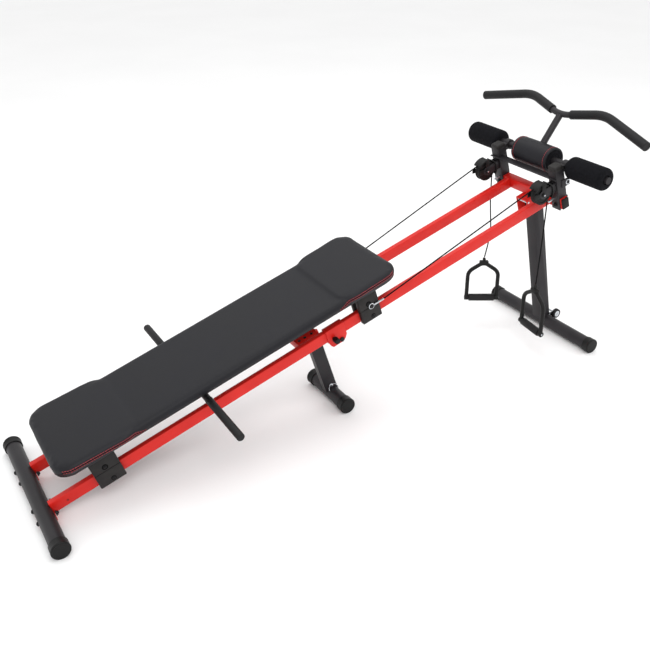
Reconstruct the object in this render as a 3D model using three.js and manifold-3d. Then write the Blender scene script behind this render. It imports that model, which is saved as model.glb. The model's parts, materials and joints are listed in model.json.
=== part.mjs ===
// A folding incline bench with a padded sliding carriage, two cable pulleys with
// hand grips, a lat bar and foam leg rollers.
// Millimetres, +Z up. +X runs from the low end to the head end, and +Y is the left side.
// Two frames are used: the floor frame, and a rail frame whose X runs up the slope (u)
// and whose Z stands square on the rails (v).
import * as THREE from "three";
import { mergeVertices } from "three/addons/utils/BufferGeometryUtils.js";
import Module from "manifold-3d";

const wasm = await Module();
wasm.setup();

// ---- driving dimensions -------------------------------------------------------------
const GAP = 0.3; // clearance between pieces that touch
const TURN_GAP = 0.5; // clearance between pieces that turn past each other
const INCLINE = Math.atan(0.305); // slope of the rails
const WALL = 2; // wall of every steel tube
const PLATE = 3; // thickness of every bent steel plate

const BAR_R = 25; // floor bars, 50 mm tube
const CAP_R = 28.5; // ribbed end caps, which stand on the floor
const CAP_LENGTH = 30;
const CAP_END = 4;
const BAR_Z = CAP_R;
const LOW_BAR_WIDTH = 570;
const MID_BAR_X = 1034.6;
const MID_BAR_WIDTH = 237;
const FRONT_BAR_X = 2053.4;
const FRONT_BAR_WIDTH = 560;

const RAIL_ORIGIN_Z = 33.65; // height of the rails' centre line above the low bar
const RAIL_Y = 103.75;
const RAIL_WIDTH = 20;
const RAIL_HEIGHT = 40;
const RAIL_START = 44;
const SADDLE_WIDTH = 84;
const SADDLE_WALL = 4;

const FOLD_U = 1046; // where the rails part
const FOLD_V = -35;
const FOLD_BOLT_R = 5;
const BRACKET_START = 998;
const BRACKET_END = 1070;

const MID_CROSS_START = 905;
const MID_CROSS_END = 985;
const MID_CROSS_BOTTOM = -16;
const MID_PIVOT_U = 990;
const MID_PIVOT_V = -44;
const MID_LEG_DEPTH = 46;
const MID_LEG_WIDTH = 28;
const HITCH_V = -271;
const HITCH_R = 4;

const HEAD_START = 1985; // cross tube at the head end
const HEAD_DEPTH = 30;
const HEAD_WIDTH = 350;
const YOKE_START = 1950; // inverted channel that holds the front leg
const YOKE_END = 2034;
const YOKE_BOTTOM = -78;
const FRONT_PIVOT_U = 2008;
const FRONT_PIVOT_V = -57;
const FRONT_PIVOT_R = 6;
const FRONT_LEG_DEPTH = 45;
const FRONT_LEG_WIDTH = 50;
const FRONT_LEG_ABOVE = 22; // how far the front leg stands past its pivot

const TRANSPORT_X = FRONT_BAR_X + 38.6;
const TRANSPORT_Z = 55;
const TRANSPORT_R = 19.5;
const TRANSPORT_Y = FRONT_LEG_WIDTH / 2 + 15; // the wheels run beside the front leg
const TRANSPORT_WIDTH = 15;
const TRANSPORT_AXLE_R = 4;

const POST_Y = 150;
const POST_WIDTH = 40;
const POST_FRONT = 1980;
const POST_BACK = 2018;
const POST_TOP = 134;
const POST_SKIRT = -25; // lower edge of the plate in front of the cross tube
const AXLE_U = 2050; // tube that carries the leg rollers
const AXLE_V = 121;
const AXLE_R = 12.5;
const AXLE_WIDTH = 690;
const CLAMP_RING = 19;
const CLAMP_WIDTH = 20;
const FOAM_R = 40;
const FOAM_INNER_Y = { left: 186, right: 172 };
const FOAM_LENGTH = 165;
const BOLSTER_R = 47.5;
const BOLSTER_WIDTH = 178;
const SHELF_V = 101;
const SHELF_FRONT = 1972;
const SHELF_BACK = 2000;

const LAT_R = 11.5;
const LAT_SLEEVE_R = 16.5;
const LAT_SLEEVE_BORE = 12.5;
const LAT_SLEEVE_START = 47;
const LAT_CENTRE = [2021, 0, 879];
const LAT_BEND = [2052.2, 179.6, 915.1];
const LAT_TIP = [2015.2, 400.7, 867.3];
const LAT_BEND_LENGTH = 38;
const STEM_R = 12.5;

const PULLEY_U = 1919;
const PULLEY_V = 72.4;
const PULLEY_R = 38;
const PULLEY_GROOVE_R = 33.5;
const PULLEY_WIDTH = 22;
const PULLEY_AXLE_R = 5;
const PULLEY_PLATE_HALF = 17;
const CABLE_R = 2.5;
const CABLE_SIDES = 8;

const WHEEL_V = 41; // carriage wheels run on top of the rails
const WHEEL_R = WHEEL_V - RAIL_HEIGHT / 2 - GAP;
const WHEEL_WIDTH = 17;
const WHEEL_AXLE_R = 4;
const BLOCK_U = [210, 1168];
const BLOCK_LENGTHS = [84, 76];
const BLOCK_BOTTOM = -21;
const BLOCK_TOP = 81;
const BLOCK_OUTER = [116, 135];
const BLOCK_INNER = [76, 91.5];
const BLOCK_ROOF = 5.7;
const SEAM_V = 30.5;

const BOARD_BOTTOM = 81.3;
const BOARD_TOP = 96.7;
const BOARD_INSET = 30;
const PAD_BOTTOM = 97;
const PAD_TOP = 130;
const PAD_START = 78;
const PAD_END = 1299;
const PAD_HALF = 168; // half width of the pad's flat middle
const PAD_CORNER = 54;
const PAD_ROUND = 8;
// Both ends are thicker and wider. Each swell is a rounded slab that dips towards the middle:
// its ends along the slope, half width, height at each end of its top, and thickness.
const SWELL_CORNER = 62;
const SWELL_ROUND = 11;
const SWELL_THICKNESS = 32;
const LOW_SWELL = { start: 78, end: 352, half: 183, tops: [147, 131] };
const HIGH_SWELL = { start: 1062, end: 1299, half: 179, tops: [135, 142] };
const GRIP_BAR_U = 561;
const GRIP_BAR_V = 68.5;
const GRIP_BAR_R = 12.5;
const GRIP_BAR_WIDTH = 748;

const HANDLE_X = 1846;
const HANDLE_Y = 146;
const HANDLE_GRIP_Z = 115;
const HANDLE_TOP = 172; // cable eye above the grip's axis
const HANDLE_HALF = 61;
const HANDLE_SHOULDER = 116;
const HANDLE_BAR_R = 8;
const HANDLE_EYE_R = 6;
const HANDLE_GRIP_R = 14.5;
const HANDLE_AXLE_R = 4;
const HANDLE_YAW = { left: -32, right: 82.5 };

const CENTRE_X = (TRANSPORT_X + TRANSPORT_R - CAP_R) / 2; // middle of the whole length
const SIDES = { left: 1, right: -1 };

// Routes of the hanging cables from their pulleys, relative to the pulley's centre (x, y, z).
// Both lie over the pulley first; the left one then bows out above its hand grip.
const OVER_PULLEY = [
  [-13.7, 0, 33.8],
  [0, 0, 36.4],
  [18.2, 0, 31.6],
  [31.6, 0, 18.2],
  [36.5, 0, 0],
];
const DROP_ROUTES = {
  left: [
    ...OVER_PULLEY,
    [37.6, -0.4, -50],
    [40.2, -1.1, -125],
    [47.5, -1.8, -195],
    [52.3, -2.2, -238],
    [51, -2.7, -275],
    [45.6, -3.2, -311],
    [38, -3.7, -343],
    [32, -4, -366.9],
  ],
  right: [
    ...OVER_PULLEY,
    [36.9, -0.4, -40],
    [37.4, -1.2, -100],
    [37.1, -2.2, -180],
    [35.6, -3.1, -260],
    [33.6, -3.7, -330],
    [32, -4, -366.9],
  ],
};
// The taut cables in the rail frame (u, y, v), from the ferrule to the pulley's top.
const RUN_START = [1223.3, 138.5, 35];
const RUN_END = [1914.8, 150, 108.6];

// ---- finishes -----------------------------------------------------------------------
const finish = (color, roughness, metalness) => ({ color, roughness, metalness });
const RED = finish(0xe23a2c, 0.4, 0.1);
const CHARCOAL = finish(0x3c383b, 0.45, 0.3);
const PLASTIC = finish(0x1b1a1c, 0.6, 0);
const RUBBER = finish(0x161617, 0.85, 0);
const FOAM = finish(0x19191d, 0.95, 0);
const VINYL = finish(0x26262d, 0.5, 0);
const BOARD = finish(0x1d1c1b, 0.85, 0);
const ZINC = finish(0xb9bcc0, 0.3, 0.9);
const CABLE = finish(0x121214, 0.5, 0);

// ---- shape helpers ------------------------------------------------------------------
function asSolid(geometry) {
  const bare = geometry.index ? geometry.toNonIndexed() : geometry.clone();
  bare.deleteAttribute("normal");
  bare.deleteAttribute("uv");
  const merged = mergeVertices(bare);
  const vertProperties = merged.attributes.position.array;
  const triVerts = new Uint32Array(merged.index.array);
  return new wasm.Manifold(new wasm.Mesh({ numProp: 3, vertProperties, triVerts }));
}

function asGeometry(solid) {
  const mesh = solid.getMesh();
  const geometry = new THREE.BufferGeometry();
  geometry.setAttribute("position", new THREE.BufferAttribute(mesh.vertProperties, 3));
  geometry.setIndex(new THREE.BufferAttribute(mesh.triVerts, 1));
  geometry.computeVertexNormals();
  return geometry;
}

function joined(first, ...others) {
  return asGeometry(others.reduce((sum, next) => sum.add(asSolid(next)), asSolid(first)));
}

function cutBy(body, ...tools) {
  return asGeometry(tools.reduce((rest, tool) => rest.subtract(asSolid(tool)), asSolid(body)));
}

// A box between two corners, given as ranges; each range may run either way.
function block(xRange, yRange, zRange) {
  const ranges = [xRange, yRange, zRange];
  const sizes = ranges.map(([a, b]) => Math.abs(b - a));
  const middles = ranges.map(([a, b]) => (a + b) / 2);
  return new THREE.BoxGeometry(...sizes).translate(...middles);
}

// A round rod along Y between two y values.
function rodY(radius, [y0, y1], x, z, sides = 24) {
  const rod = new THREE.CylinderGeometry(radius, radius, Math.abs(y1 - y0), sides);
  return rod.translate(x, (y0 + y1) / 2, z);
}

// A turned piece about the Y axis, from a closed profile of [radius, y].
function turnedY(profile, sides = 24) {
  const points = profile.map(([r, y]) => new THREE.Vector2(r, y));
  return new THREE.LatheGeometry([...points, points[0]], sides);
}

// A flat plate whose outline lies in the XZ plane.
function plateXZ(outline, [y0, y1]) {
  const shape = new THREE.Shape(outline.map(([x, z]) => new THREE.Vector2(x, z)));
  const options = { depth: Math.abs(y1 - y0), bevelEnabled: false };
  const plate = new THREE.ExtrudeGeometry(shape, options);
  return plate.rotateX(Math.PI / 2).translate(0, Math.max(y0, y1), 0);
}

// A rectangular tube along X, open at both ends.
function boxTubeX(xRange, width, height, wall = WALL) {
  const outside = block(xRange, [-width / 2, width / 2], [-height / 2, height / 2]);
  const halfBore = [width / 2 - wall, height / 2 - wall];
  const past = [xRange[0] - 1, xRange[1] + 1];
  const bore = block(past, [-halfBore[0], halfBore[0]], [-halfBore[1], halfBore[1]]);
  return cutBy(outside, bore);
}

// A rectangular tube along Z, open at both ends.
function boxTubeZ(zRange, depth, width) {
  return boxTubeX([zRange[0], zRange[1]], width, depth).rotateY(-Math.PI / 2);
}

// A round section swept along a curve.
function swept(curve, radius, steps, sides) {
  const section = new THREE.Shape().absarc(0, 0, radius, 0, 2 * Math.PI);
  return new THREE.ExtrudeGeometry(section, {
    steps,
    curveSegments: sides / 2,
    extrudePath: curve,
    bevelEnabled: false,
  });
}

// Straight lines between points, with each inner corner rounded.
function roundedPath(points, cornerLength) {
  const path = new THREE.CurvePath();
  let from = points[0];
  for (let i = 1; i < points.length - 1; i += 1) {
    const corner = points[i];
    const before = corner.clone().sub(points[i - 1]).setLength(cornerLength);
    const after = points[i + 1].clone().sub(corner).setLength(cornerLength);
    const enter = corner.clone().sub(before);
    const leave = corner.clone().add(after);
    path.add(new THREE.LineCurve3(from, enter));
    path.add(new THREE.QuadraticBezierCurve3(enter, corner, leave));
    from = leave;
  }
  path.add(new THREE.LineCurve3(from, points.at(-1)));
  return path;
}

const vector = ([x, y, z]) => new THREE.Vector3(x, y, z);

// ---- scene graph --------------------------------------------------------------------
const bench = new THREE.Group();
const floorFrame = new THREE.Group();
floorFrame.position.x = -CENTRE_X;
bench.add(floorFrame);
const railFrame = new THREE.Group();
railFrame.position.z = RAIL_ORIGIN_Z;
railFrame.rotation.y = -INCLINE;
floorFrame.add(railFrame);

function add(parent, name, geometry, look, position = [0, 0, 0]) {
  const mesh = new THREE.Mesh(geometry, new THREE.MeshStandardMaterial(look));
  mesh.name = name;
  mesh.position.set(...position);
  parent.add(mesh);
  return mesh;
}

// Rail frame coordinates of a floor frame point, and the way back.
function toRail(x, z) {
  const rise = z - RAIL_ORIGIN_Z;
  const u = x * Math.cos(INCLINE) + rise * Math.sin(INCLINE);
  const v = rise * Math.cos(INCLINE) - x * Math.sin(INCLINE);
  return [u, v];
}

function toFloor(u, v) {
  const x = u * Math.cos(INCLINE) - v * Math.sin(INCLINE);
  const z = RAIL_ORIGIN_Z + u * Math.sin(INCLINE) + v * Math.cos(INCLINE);
  return [x, z];
}

// ---- floor bars and caps ------------------------------------------------------------
function barTube(width) {
  const half = width / 2 - CAP_END - GAP;
  const profile = [
    [BAR_R - WALL, -half],
    [BAR_R, -half],
    [BAR_R, half],
    [BAR_R - WALL, half],
  ];
  return turnedY(profile, 24);
}

function endCap() {
  const bore = BAR_R + GAP;
  const chamfer = 2;
  const profile = [
    [0, -CAP_END],
    [bore, -CAP_END],
    [bore, -CAP_LENGTH],
    [CAP_R, -CAP_LENGTH],
    [CAP_R, -chamfer],
    [CAP_R - chamfer, 0],
    [0, 0],
  ];
  const points = profile.map(([r, y]) => new THREE.Vector2(r, y));
  return new THREE.LatheGeometry(points, 24);
}

function addFloorBar(name, x, width, look) {
  add(floorFrame, name, barTube(width), look, [x, 0, BAR_Z]);
  for (const [side, sign] of Object.entries(SIDES)) {
    const cap = add(floorFrame, `${name}_cap_${side}`, endCap(), PLASTIC);
    cap.position.set(x, (sign * width) / 2, BAR_Z);
    if (sign < 0) cap.rotation.x = Math.PI;
  }
}

// ---- lower frame --------------------------------------------------------------------
// A rail with a stub and a curved saddle plate that is bolted to the low bar.
function lowerRail() {
  const [barU, barV] = toRail(0, BAR_Z);
  const half = SADDLE_WIDTH / 2;
  const inner = BAR_R + GAP;
  const outer = inner + SADDLE_WALL;
  const tube = boxTubeX([RAIL_START, FOLD_U - GAP], RAIL_WIDTH, RAIL_HEIGHT);
  const stub = block([barU + inner, RAIL_START + 3], [-8, 8], [-17, 17]);
  const sleeve = rodY(outer, [-half, half], barU, barV, 32);
  const keep = block([barU + 6, barU + 60], [-half, half], [barV - 12, barV + 60]);
  const saddle = asGeometry(asSolid(sleeve).intersect(asSolid(keep)));
  const bar = rodY(inner, [-half - 1, half + 1], barU, barV, 32);
  return cutBy(joined(tube, stub, saddle), bar);
}

function hingeBracket() {
  const inside = RAIL_WIDTH / 2 + GAP;
  const top = RAIL_HEIGHT / 2 + GAP;
  const lobe = FOLD_V - 12;
  const cheek = [
    [BRACKET_START, top + PLATE],
    [BRACKET_START, -RAIL_HEIGHT / 2 - 2],
    [BRACKET_START + 6, lobe + 8],
    [BRACKET_START + 14, lobe],
    [FOLD_U + 6, lobe],
    [BRACKET_END - 8, lobe + 9],
    [BRACKET_END, -RAIL_HEIGHT / 2 - 6],
    [BRACKET_END, top + PLATE],
  ];
  const far = plateXZ(cheek, [inside, inside + PLATE]);
  const near = plateXZ(cheek, [-inside - PLATE, -inside]);
  const roofU = [BRACKET_START, BRACKET_END];
  const roof = block(roofU, [-inside - PLATE, inside + PLATE], [top, top + PLATE]);
  const hole = rodY(FOLD_BOLT_R + GAP, [-40, 40], FOLD_U, FOLD_V);
  return cutBy(joined(far, near, roof), hole);
}

function foldBolt() {
  const face = RAIL_WIDTH / 2 + GAP + PLATE + GAP;
  const head = 5;
  const shank = rodY(FOLD_BOLT_R, [-face - 1, face + 1], FOLD_U, FOLD_V);
  const headA = rodY(9, [face, face + head], FOLD_U, FOLD_V, 6);
  const headB = rodY(9, [-face - head, -face], FOLD_U, FOLD_V, 6);
  return joined(shank, headA, headB);
}

// The tube between the lower rails, with two cheeks that hold the middle leg.
function midCross() {
  const end = RAIL_Y - RAIL_WIDTH / 2 - GAP;
  const top = RAIL_HEIGHT / 2;
  const outside = block([MID_CROSS_START, MID_CROSS_END], [-end, end], [MID_CROSS_BOTTOM, top]);
  const boreU = [MID_CROSS_START + WALL, MID_CROSS_END - WALL];
  const boreV = [MID_CROSS_BOTTOM + WALL, top - WALL];
  const tube = cutBy(outside, block(boreU, [-end - 1, end + 1], boreV));
  const inner = MID_LEG_WIDTH / 2 + TURN_GAP;
  const cheek = [
    [940, MID_CROSS_BOTTOM + 1],
    [952, -52],
    [MID_PIVOT_U - 12, MID_PIVOT_V - 18],
    [MID_PIVOT_U + 14, MID_PIVOT_V - 18],
    [MID_PIVOT_U + 24, MID_PIVOT_V],
    [MID_PIVOT_U + 22, -24],
    [MID_CROSS_END - 1, MID_CROSS_BOTTOM + 8],
    [MID_CROSS_END - 1, MID_CROSS_BOTTOM + 1],
  ];
  const left = plateXZ(cheek, [inner, inner + PLATE]);
  const right = plateXZ(cheek, [-inner - PLATE, -inner]);
  const hole = rodY(FOLD_BOLT_R + GAP, [-40, 40], MID_PIVOT_U, MID_PIVOT_V);
  return cutBy(joined(tube, left, right), hole);
}

function midPivotBolt() {
  const face = MID_LEG_WIDTH / 2 + TURN_GAP + PLATE + GAP;
  const shank = rodY(FOLD_BOLT_R, [-face - 1, face + 1], MID_PIVOT_U, MID_PIVOT_V);
  const heads = [face, -face - 5].map((y) => rodY(9, [y, y + 5], MID_PIVOT_U, MID_PIVOT_V, 6));
  return joined(shank, ...heads);
}

// The middle leg's tube stands square under the rails and is seated on the middle bar.
function midLeg() {
  const [barU, barV] = toRail(MID_BAR_X, BAR_Z);
  const tube = boxTubeZ([barV, MID_PIVOT_V], MID_LEG_DEPTH, MID_LEG_WIDTH);
  const halfWidth = MID_LEG_WIDTH / 2;
  tube.translate(MID_PIVOT_U, 0, 0);
  const crown = rodY(MID_LEG_DEPTH / 2, [-halfWidth, halfWidth], MID_PIVOT_U, MID_PIVOT_V);
  const hollow = MID_LEG_DEPTH / 2 - WALL;
  const bore = block(
    [MID_PIVOT_U - hollow, MID_PIVOT_U + hollow],
    [-halfWidth + WALL, halfWidth - WALL],
    [barV, MID_PIVOT_V + 4],
  );
  const pivot = rodY(FOLD_BOLT_R + GAP, [-40, 40], MID_PIVOT_U, MID_PIVOT_V);
  const seat = rodY(BAR_R + GAP, [-40, 40], barU, barV, 32);
  const pinHole = rodY(HITCH_R + GAP, [-40, 40], MID_PIVOT_U, HITCH_V);
  return cutBy(joined(tube, crown), bore, pivot, seat, pinHole);
}

function hitchPin() {
  const face = MID_LEG_WIDTH / 2;
  const shank = rodY(HITCH_R, [-face - 6, face + 6], MID_PIVOT_U, HITCH_V, 16);
  const head = rodY(8, [-face - 9, -face - 1], MID_PIVOT_U, HITCH_V, 16);
  return joined(shank, head);
}

// ---- upper frame --------------------------------------------------------------------
// A rail with a lug under its lower end, through which the fold bolt passes.
function upperRail() {
  const half = RAIL_WIDTH / 2;
  const bottom = -RAIL_HEIGHT / 2;
  const lugR = 11;
  const tube = boxTubeX([FOLD_U + GAP, HEAD_START - GAP], RAIL_WIDTH, RAIL_HEIGHT);
  const lug = [
    [FOLD_U + 1, bottom + 1],
    [FOLD_U + 1, FOLD_V],
    [FOLD_U + 8, FOLD_V - 8],
    [FOLD_U + 24, bottom + 1],
  ];
  const web = plateXZ(lug, [-half, half]);
  const eye = rodY(lugR, [-half, half], FOLD_U, FOLD_V);
  const hole = rodY(FOLD_BOLT_R + GAP, [-half - 1, half + 1], FOLD_U, FOLD_V);
  return cutBy(joined(tube, web, eye), hole);
}

// The tube across the head end, with an inverted channel under it for the front leg.
function headCross() {
  const half = HEAD_WIDTH / 2;
  const end = HEAD_START + HEAD_DEPTH;
  const top = RAIL_HEIGHT / 2;
  const outside = block([HEAD_START, end], [-half, half], [-top, top]);
  const boreV = [-top + WALL, top - WALL];
  const bore = block([HEAD_START + WALL, end - WALL], [-half - 1, half + 1], boreV);
  const inner = FRONT_LEG_WIDTH / 2 + TURN_GAP;
  const outer = inner + PLATE;
  const channel = block([YOKE_START, YOKE_END], [-outer, outer], [YOKE_BOTTOM, -top + 1]);
  const inside = block(
    [YOKE_START - 1, YOKE_END + 1],
    [-inner, inner],
    [YOKE_BOTTOM - 1, -top - PLATE],
  );
  const hole = rodY(FRONT_PIVOT_R + GAP, [-40, 40], FRONT_PIVOT_U, FRONT_PIVOT_V);
  const shell = cutBy(channel, inside, hole, bore);
  return joined(cutBy(outside, bore), shell);
}

function frontPivotBolt() {
  const face = FRONT_LEG_WIDTH / 2 + TURN_GAP + PLATE + GAP;
  const at = [FRONT_PIVOT_U, FRONT_PIVOT_V];
  const shank = rodY(FRONT_PIVOT_R, [-face - 1, face + 1], ...at);
  const heads = [face, -face - 6].map((y) => rodY(10, [y, y + 6], ...at, 6));
  return joined(shank, ...heads);
}

// The front leg, made upright about its pivot and then leaned towards its floor bar.
function frontLeg() {
  const [pivotX, pivotZ] = toFloor(FRONT_PIVOT_U, FRONT_PIVOT_V);
  const reach = Math.hypot(FRONT_BAR_X - pivotX, pivotZ - BAR_Z);
  const lean = Math.atan2(FRONT_BAR_X - pivotX, pivotZ - BAR_Z);
  const tube = boxTubeZ([-reach, FRONT_LEG_ABOVE], FRONT_LEG_DEPTH, FRONT_LEG_WIDTH);
  const seat = rodY(BAR_R + GAP, [-40, 40], 0, -reach, 32);
  const pivot = rodY(FRONT_PIVOT_R + GAP, [-40, 40], 0, 0);
  return cutBy(tube, seat, pivot).rotateY(-lean).translate(pivotX, 0, pivotZ);
}

function wheelBracket() {
  const inner = TRANSPORT_Y - TRANSPORT_WIDTH / 2 - TURN_GAP - PLATE;
  const end = TRANSPORT_Y + TRANSPORT_WIDTH / 2 + 2;
  const arm = [
    [FRONT_BAR_X + 8, BAR_Z + 20],
    [FRONT_BAR_X + 18, BAR_Z - 4],
    [TRANSPORT_X - 4, TRANSPORT_Z - 9],
    [TRANSPORT_X + 8, TRANSPORT_Z - 2],
    [TRANSPORT_X + 6, TRANSPORT_Z + 8],
    [TRANSPORT_X - 8, TRANSPORT_Z + 9],
    [FRONT_BAR_X + 16, BAR_Z + 33],
  ];
  const arms = [inner, -inner - PLATE].map((y) => plateXZ(arm, [y, y + PLATE]));
  const strapX = [FRONT_BAR_X + 22, FRONT_BAR_X + 28];
  const strap = block(strapX, [-inner - PLATE, inner + PLATE], [BAR_Z + 10, BAR_Z + 24]);
  const axle = rodY(TRANSPORT_AXLE_R, [-end, end], TRANSPORT_X, TRANSPORT_Z, 16);
  const bar = rodY(BAR_R + GAP, [-60, 60], FRONT_BAR_X, BAR_Z, 32);
  return cutBy(joined(arms[0], arms[1], strap, axle), bar);
}

function wheel(radius, bore, width, grooveR = radius) {
  const half = width / 2;
  const edge = width / 6;
  const profile = [
    [bore, -half],
    [radius - 2, -half],
    [radius, -half + edge],
    [grooveR, 0],
    [radius, half - edge],
    [radius - 2, half],
    [bore, half],
  ];
  return turnedY(profile, 20);
}

// A post bolted to the cross tube, with a ring behind it that holds the roller tube.
function post() {
  const half = POST_WIDTH / 2;
  const clampHalf = CLAMP_WIDTH / 2;
  const seat = RAIL_HEIGHT / 2 + GAP;
  const column = block([POST_FRONT, POST_BACK], [-half, half], [seat, POST_TOP]);
  const skirtBack = HEAD_START - GAP;
  const skirt = block([POST_FRONT, skirtBack], [-half, half], [POST_SKIRT, seat + 1]);
  const ring = rodY(CLAMP_RING, [-clampHalf, clampHalf], AXLE_U, AXLE_V, 24);
  const armV = [AXLE_V - 12, AXLE_V + 12];
  const arm = block([POST_BACK - 1, AXLE_U], [-clampHalf, clampHalf], armV);
  const bore = rodY(AXLE_R + GAP, [-half, half], AXLE_U, AXLE_V, 24);
  return cutBy(joined(column, skirt, ring, arm), bore);
}

function foamRoller(side) {
  const bore = AXLE_R + GAP;
  const y0 = FOAM_INNER_Y[side];
  const y1 = y0 + FOAM_LENGTH;
  const profile = [
    [bore, y0],
    [FOAM_R - 12, y0],
    [FOAM_R - 3, y0 + 4],
    [FOAM_R, y0 + 13],
    [FOAM_R, y1 - 13],
    [FOAM_R - 3, y1 - 4],
    [FOAM_R - 12, y1],
    [bore, y1],
  ];
  return turnedY(profile, 24);
}

// The padded bolster round the middle of the roller tube, which the stem passes into.
function bolster(stemAngle) {
  const half = BOLSTER_WIDTH / 2;
  const bore = AXLE_R + GAP;
  const profile = [
    [bore, -half],
    [BOLSTER_R - 5, -half],
    [BOLSTER_R, -half + 5],
    [BOLSTER_R, half - 5],
    [BOLSTER_R - 5, half],
    [bore, half],
  ];
  const passage = new THREE.CylinderGeometry(STEM_R + GAP, STEM_R + GAP, BOLSTER_R * 2, 24);
  passage.rotateX(Math.PI / 2).translate(0, 0, BOLSTER_R).rotateY(stemAngle);
  return cutBy(turnedY(profile, 28), passage);
}

function axleTube() {
  const half = AXLE_WIDTH / 2;
  const profile = [
    [AXLE_R - WALL, -half],
    [AXLE_R, -half],
    [AXLE_R, half],
    [AXLE_R - WALL, half],
  ];
  return turnedY(profile, 24);
}

// A narrow shelf in front of the bolster, notched round the posts.
function shelf() {
  const inner = POST_Y - POST_WIDTH / 2 - GAP;
  const outer = POST_Y + POST_WIDTH / 2 + 2;
  const lip = POST_FRONT - GAP;
  const front = block([SHELF_FRONT, lip], [-outer, outer], [SHELF_V, SHELF_V + PLATE]);
  const middle = block([lip - 1, SHELF_BACK], [-inner, inner], [SHELF_V, SHELF_V + PLATE]);
  return joined(front, middle);
}

// ---- lat bar ------------------------------------------------------------------------
function latPath(extra) {
  const mirrored = ([x, y, z]) => [x, -y, z];
  const tip = vector(LAT_TIP);
  const past = tip.clone().sub(vector(LAT_BEND)).setLength(extra);
  const left = tip.clone().add(past);
  const right = new THREE.Vector3(left.x, -left.y, left.z);
  const corners = [LAT_BEND, LAT_CENTRE, mirrored(LAT_BEND)].map(vector);
  return roundedPath([left, ...corners, right], LAT_BEND_LENGTH);
}

const LAT_STEPS = 32;
const LAT_SIDES = 10;

function latBar(axlePoint) {
  const centre = vector(LAT_CENTRE);
  const along = axlePoint.clone().sub(centre);
  const foot = axlePoint.clone().sub(along.clone().setLength(AXLE_R + GAP));
  const stem = swept(new THREE.LineCurve3(centre, foot), STEM_R, 1, 16);
  return joined(swept(latPath(0), LAT_R, LAT_STEPS, LAT_SIDES), stem);
}

// A closed sleeve over one end of the lat bar.
function latSleeve(sign) {
  const outer = swept(latPath(4), LAT_SLEEVE_R, LAT_STEPS, LAT_SIDES);
  const bore = swept(latPath(GAP), LAT_SLEEVE_BORE, LAT_STEPS, LAT_SIDES);
  const far = 500;
  const start = sign * LAT_SLEEVE_START;
  const rest = block([1900, 2200], [start, -sign * far], [700, 1100]);
  return cutBy(outer, bore, rest);
}

// ---- pulleys and cables -------------------------------------------------------------
function pulleyBracket() {
  const inner = PULLEY_WIDTH / 2 + TURN_GAP;
  const back = POST_FRONT - GAP;
  const nose = PULLEY_PLATE_HALF;
  const side = [
    [back - 1, PULLEY_V - nose],
    [back - 1, PULLEY_V + nose],
    [PULLEY_U, PULLEY_V + nose],
    [PULLEY_U - nose * 0.71, PULLEY_V + nose * 0.71],
    [PULLEY_U - nose, PULLEY_V],
    [PULLEY_U - nose * 0.71, PULLEY_V - nose * 0.71],
    [PULLEY_U, PULLEY_V - nose],
  ];
  const plates = [inner, -inner - PLATE].map((y) => plateXZ(side, [y, y + PLATE]));
  const flangeV = [PULLEY_V - nose, PULLEY_V + nose];
  const flange = block([back - PLATE, back], [-inner - PLATE, inner + PLATE], flangeV);
  const end = inner + PLATE + 3;
  const axle = rodY(PULLEY_AXLE_R, [-end, end], PULLEY_U, PULLEY_V, 16);
  return joined(plates[0], plates[1], flange, axle);
}

function pulley() {
  const half = PULLEY_WIDTH / 2;
  const bore = PULLEY_AXLE_R + GAP;
  const flat = CABLE_R + 0.6;
  const profile = [
    [bore, -half],
    [PULLEY_R, -half],
    [PULLEY_R, -half + 3],
    [PULLEY_GROOVE_R, -flat],
    [PULLEY_GROOVE_R, flat],
    [PULLEY_R, half - 3],
    [PULLEY_R, half],
    [bore, half],
  ];
  return turnedY(profile, 24);
}

function cableRun(sign) {
  const ends = [RUN_START, RUN_END].map(([u, y, v]) => vector([u, sign * y, v]));
  return swept(new THREE.LineCurve3(...ends), CABLE_R, 1, CABLE_SIDES);
}

function cableDrop(side) {
  const [x, z] = toFloor(PULLEY_U, PULLEY_V);
  const place = ([dx, dy, dz]) => vector([x + dx, SIDES[side] * (POST_Y + dy), z + dz]);
  const curve = new THREE.CatmullRomCurve3(DROP_ROUTES[side].map(place));
  return swept(curve, CABLE_R, 48, CABLE_SIDES);
}

// ---- hand grips ---------------------------------------------------------------------
// Both are made about the grip's own axis, which lies along X.
function handleFrame() {
  const outline = [
    [-HANDLE_HALF, 3],
    [-HANDLE_HALF, HANDLE_SHOULDER],
    [0, HANDLE_TOP - 16],
    [HANDLE_HALF, HANDLE_SHOULDER],
    [HANDLE_HALF, 3],
  ];
  const points = outline.map(([x, z]) => new THREE.Vector3(x, 0, z));
  const bow = swept(roundedPath(points, 16), HANDLE_BAR_R, 20, 8);
  const eyes = [-HANDLE_HALF, HANDLE_HALF].map((x) => {
    const eyeR = HANDLE_BAR_R + 2.6;
    const eye = new THREE.CylinderGeometry(eyeR, eyeR, HANDLE_BAR_R * 2 + 1, 14);
    return eye.rotateZ(Math.PI / 2).translate(x, 0, 0);
  });
  const axle = new THREE.CylinderGeometry(HANDLE_AXLE_R, HANDLE_AXLE_R, HANDLE_HALF * 2, 12);
  const boss = block([-18, 18], [-10, 10], [HANDLE_TOP - 27, HANDLE_TOP - 8]);
  const neck = block([-5, 5], [-3.2, 3.2], [HANDLE_TOP - 10, HANDLE_TOP - 1]);
  const loop = rodY(HANDLE_EYE_R, [-4, 4], 0, HANDLE_TOP, 20);
  return joined(bow, eyes[0], eyes[1], axle.rotateZ(Math.PI / 2), boss, neck, loop);
}

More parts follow.
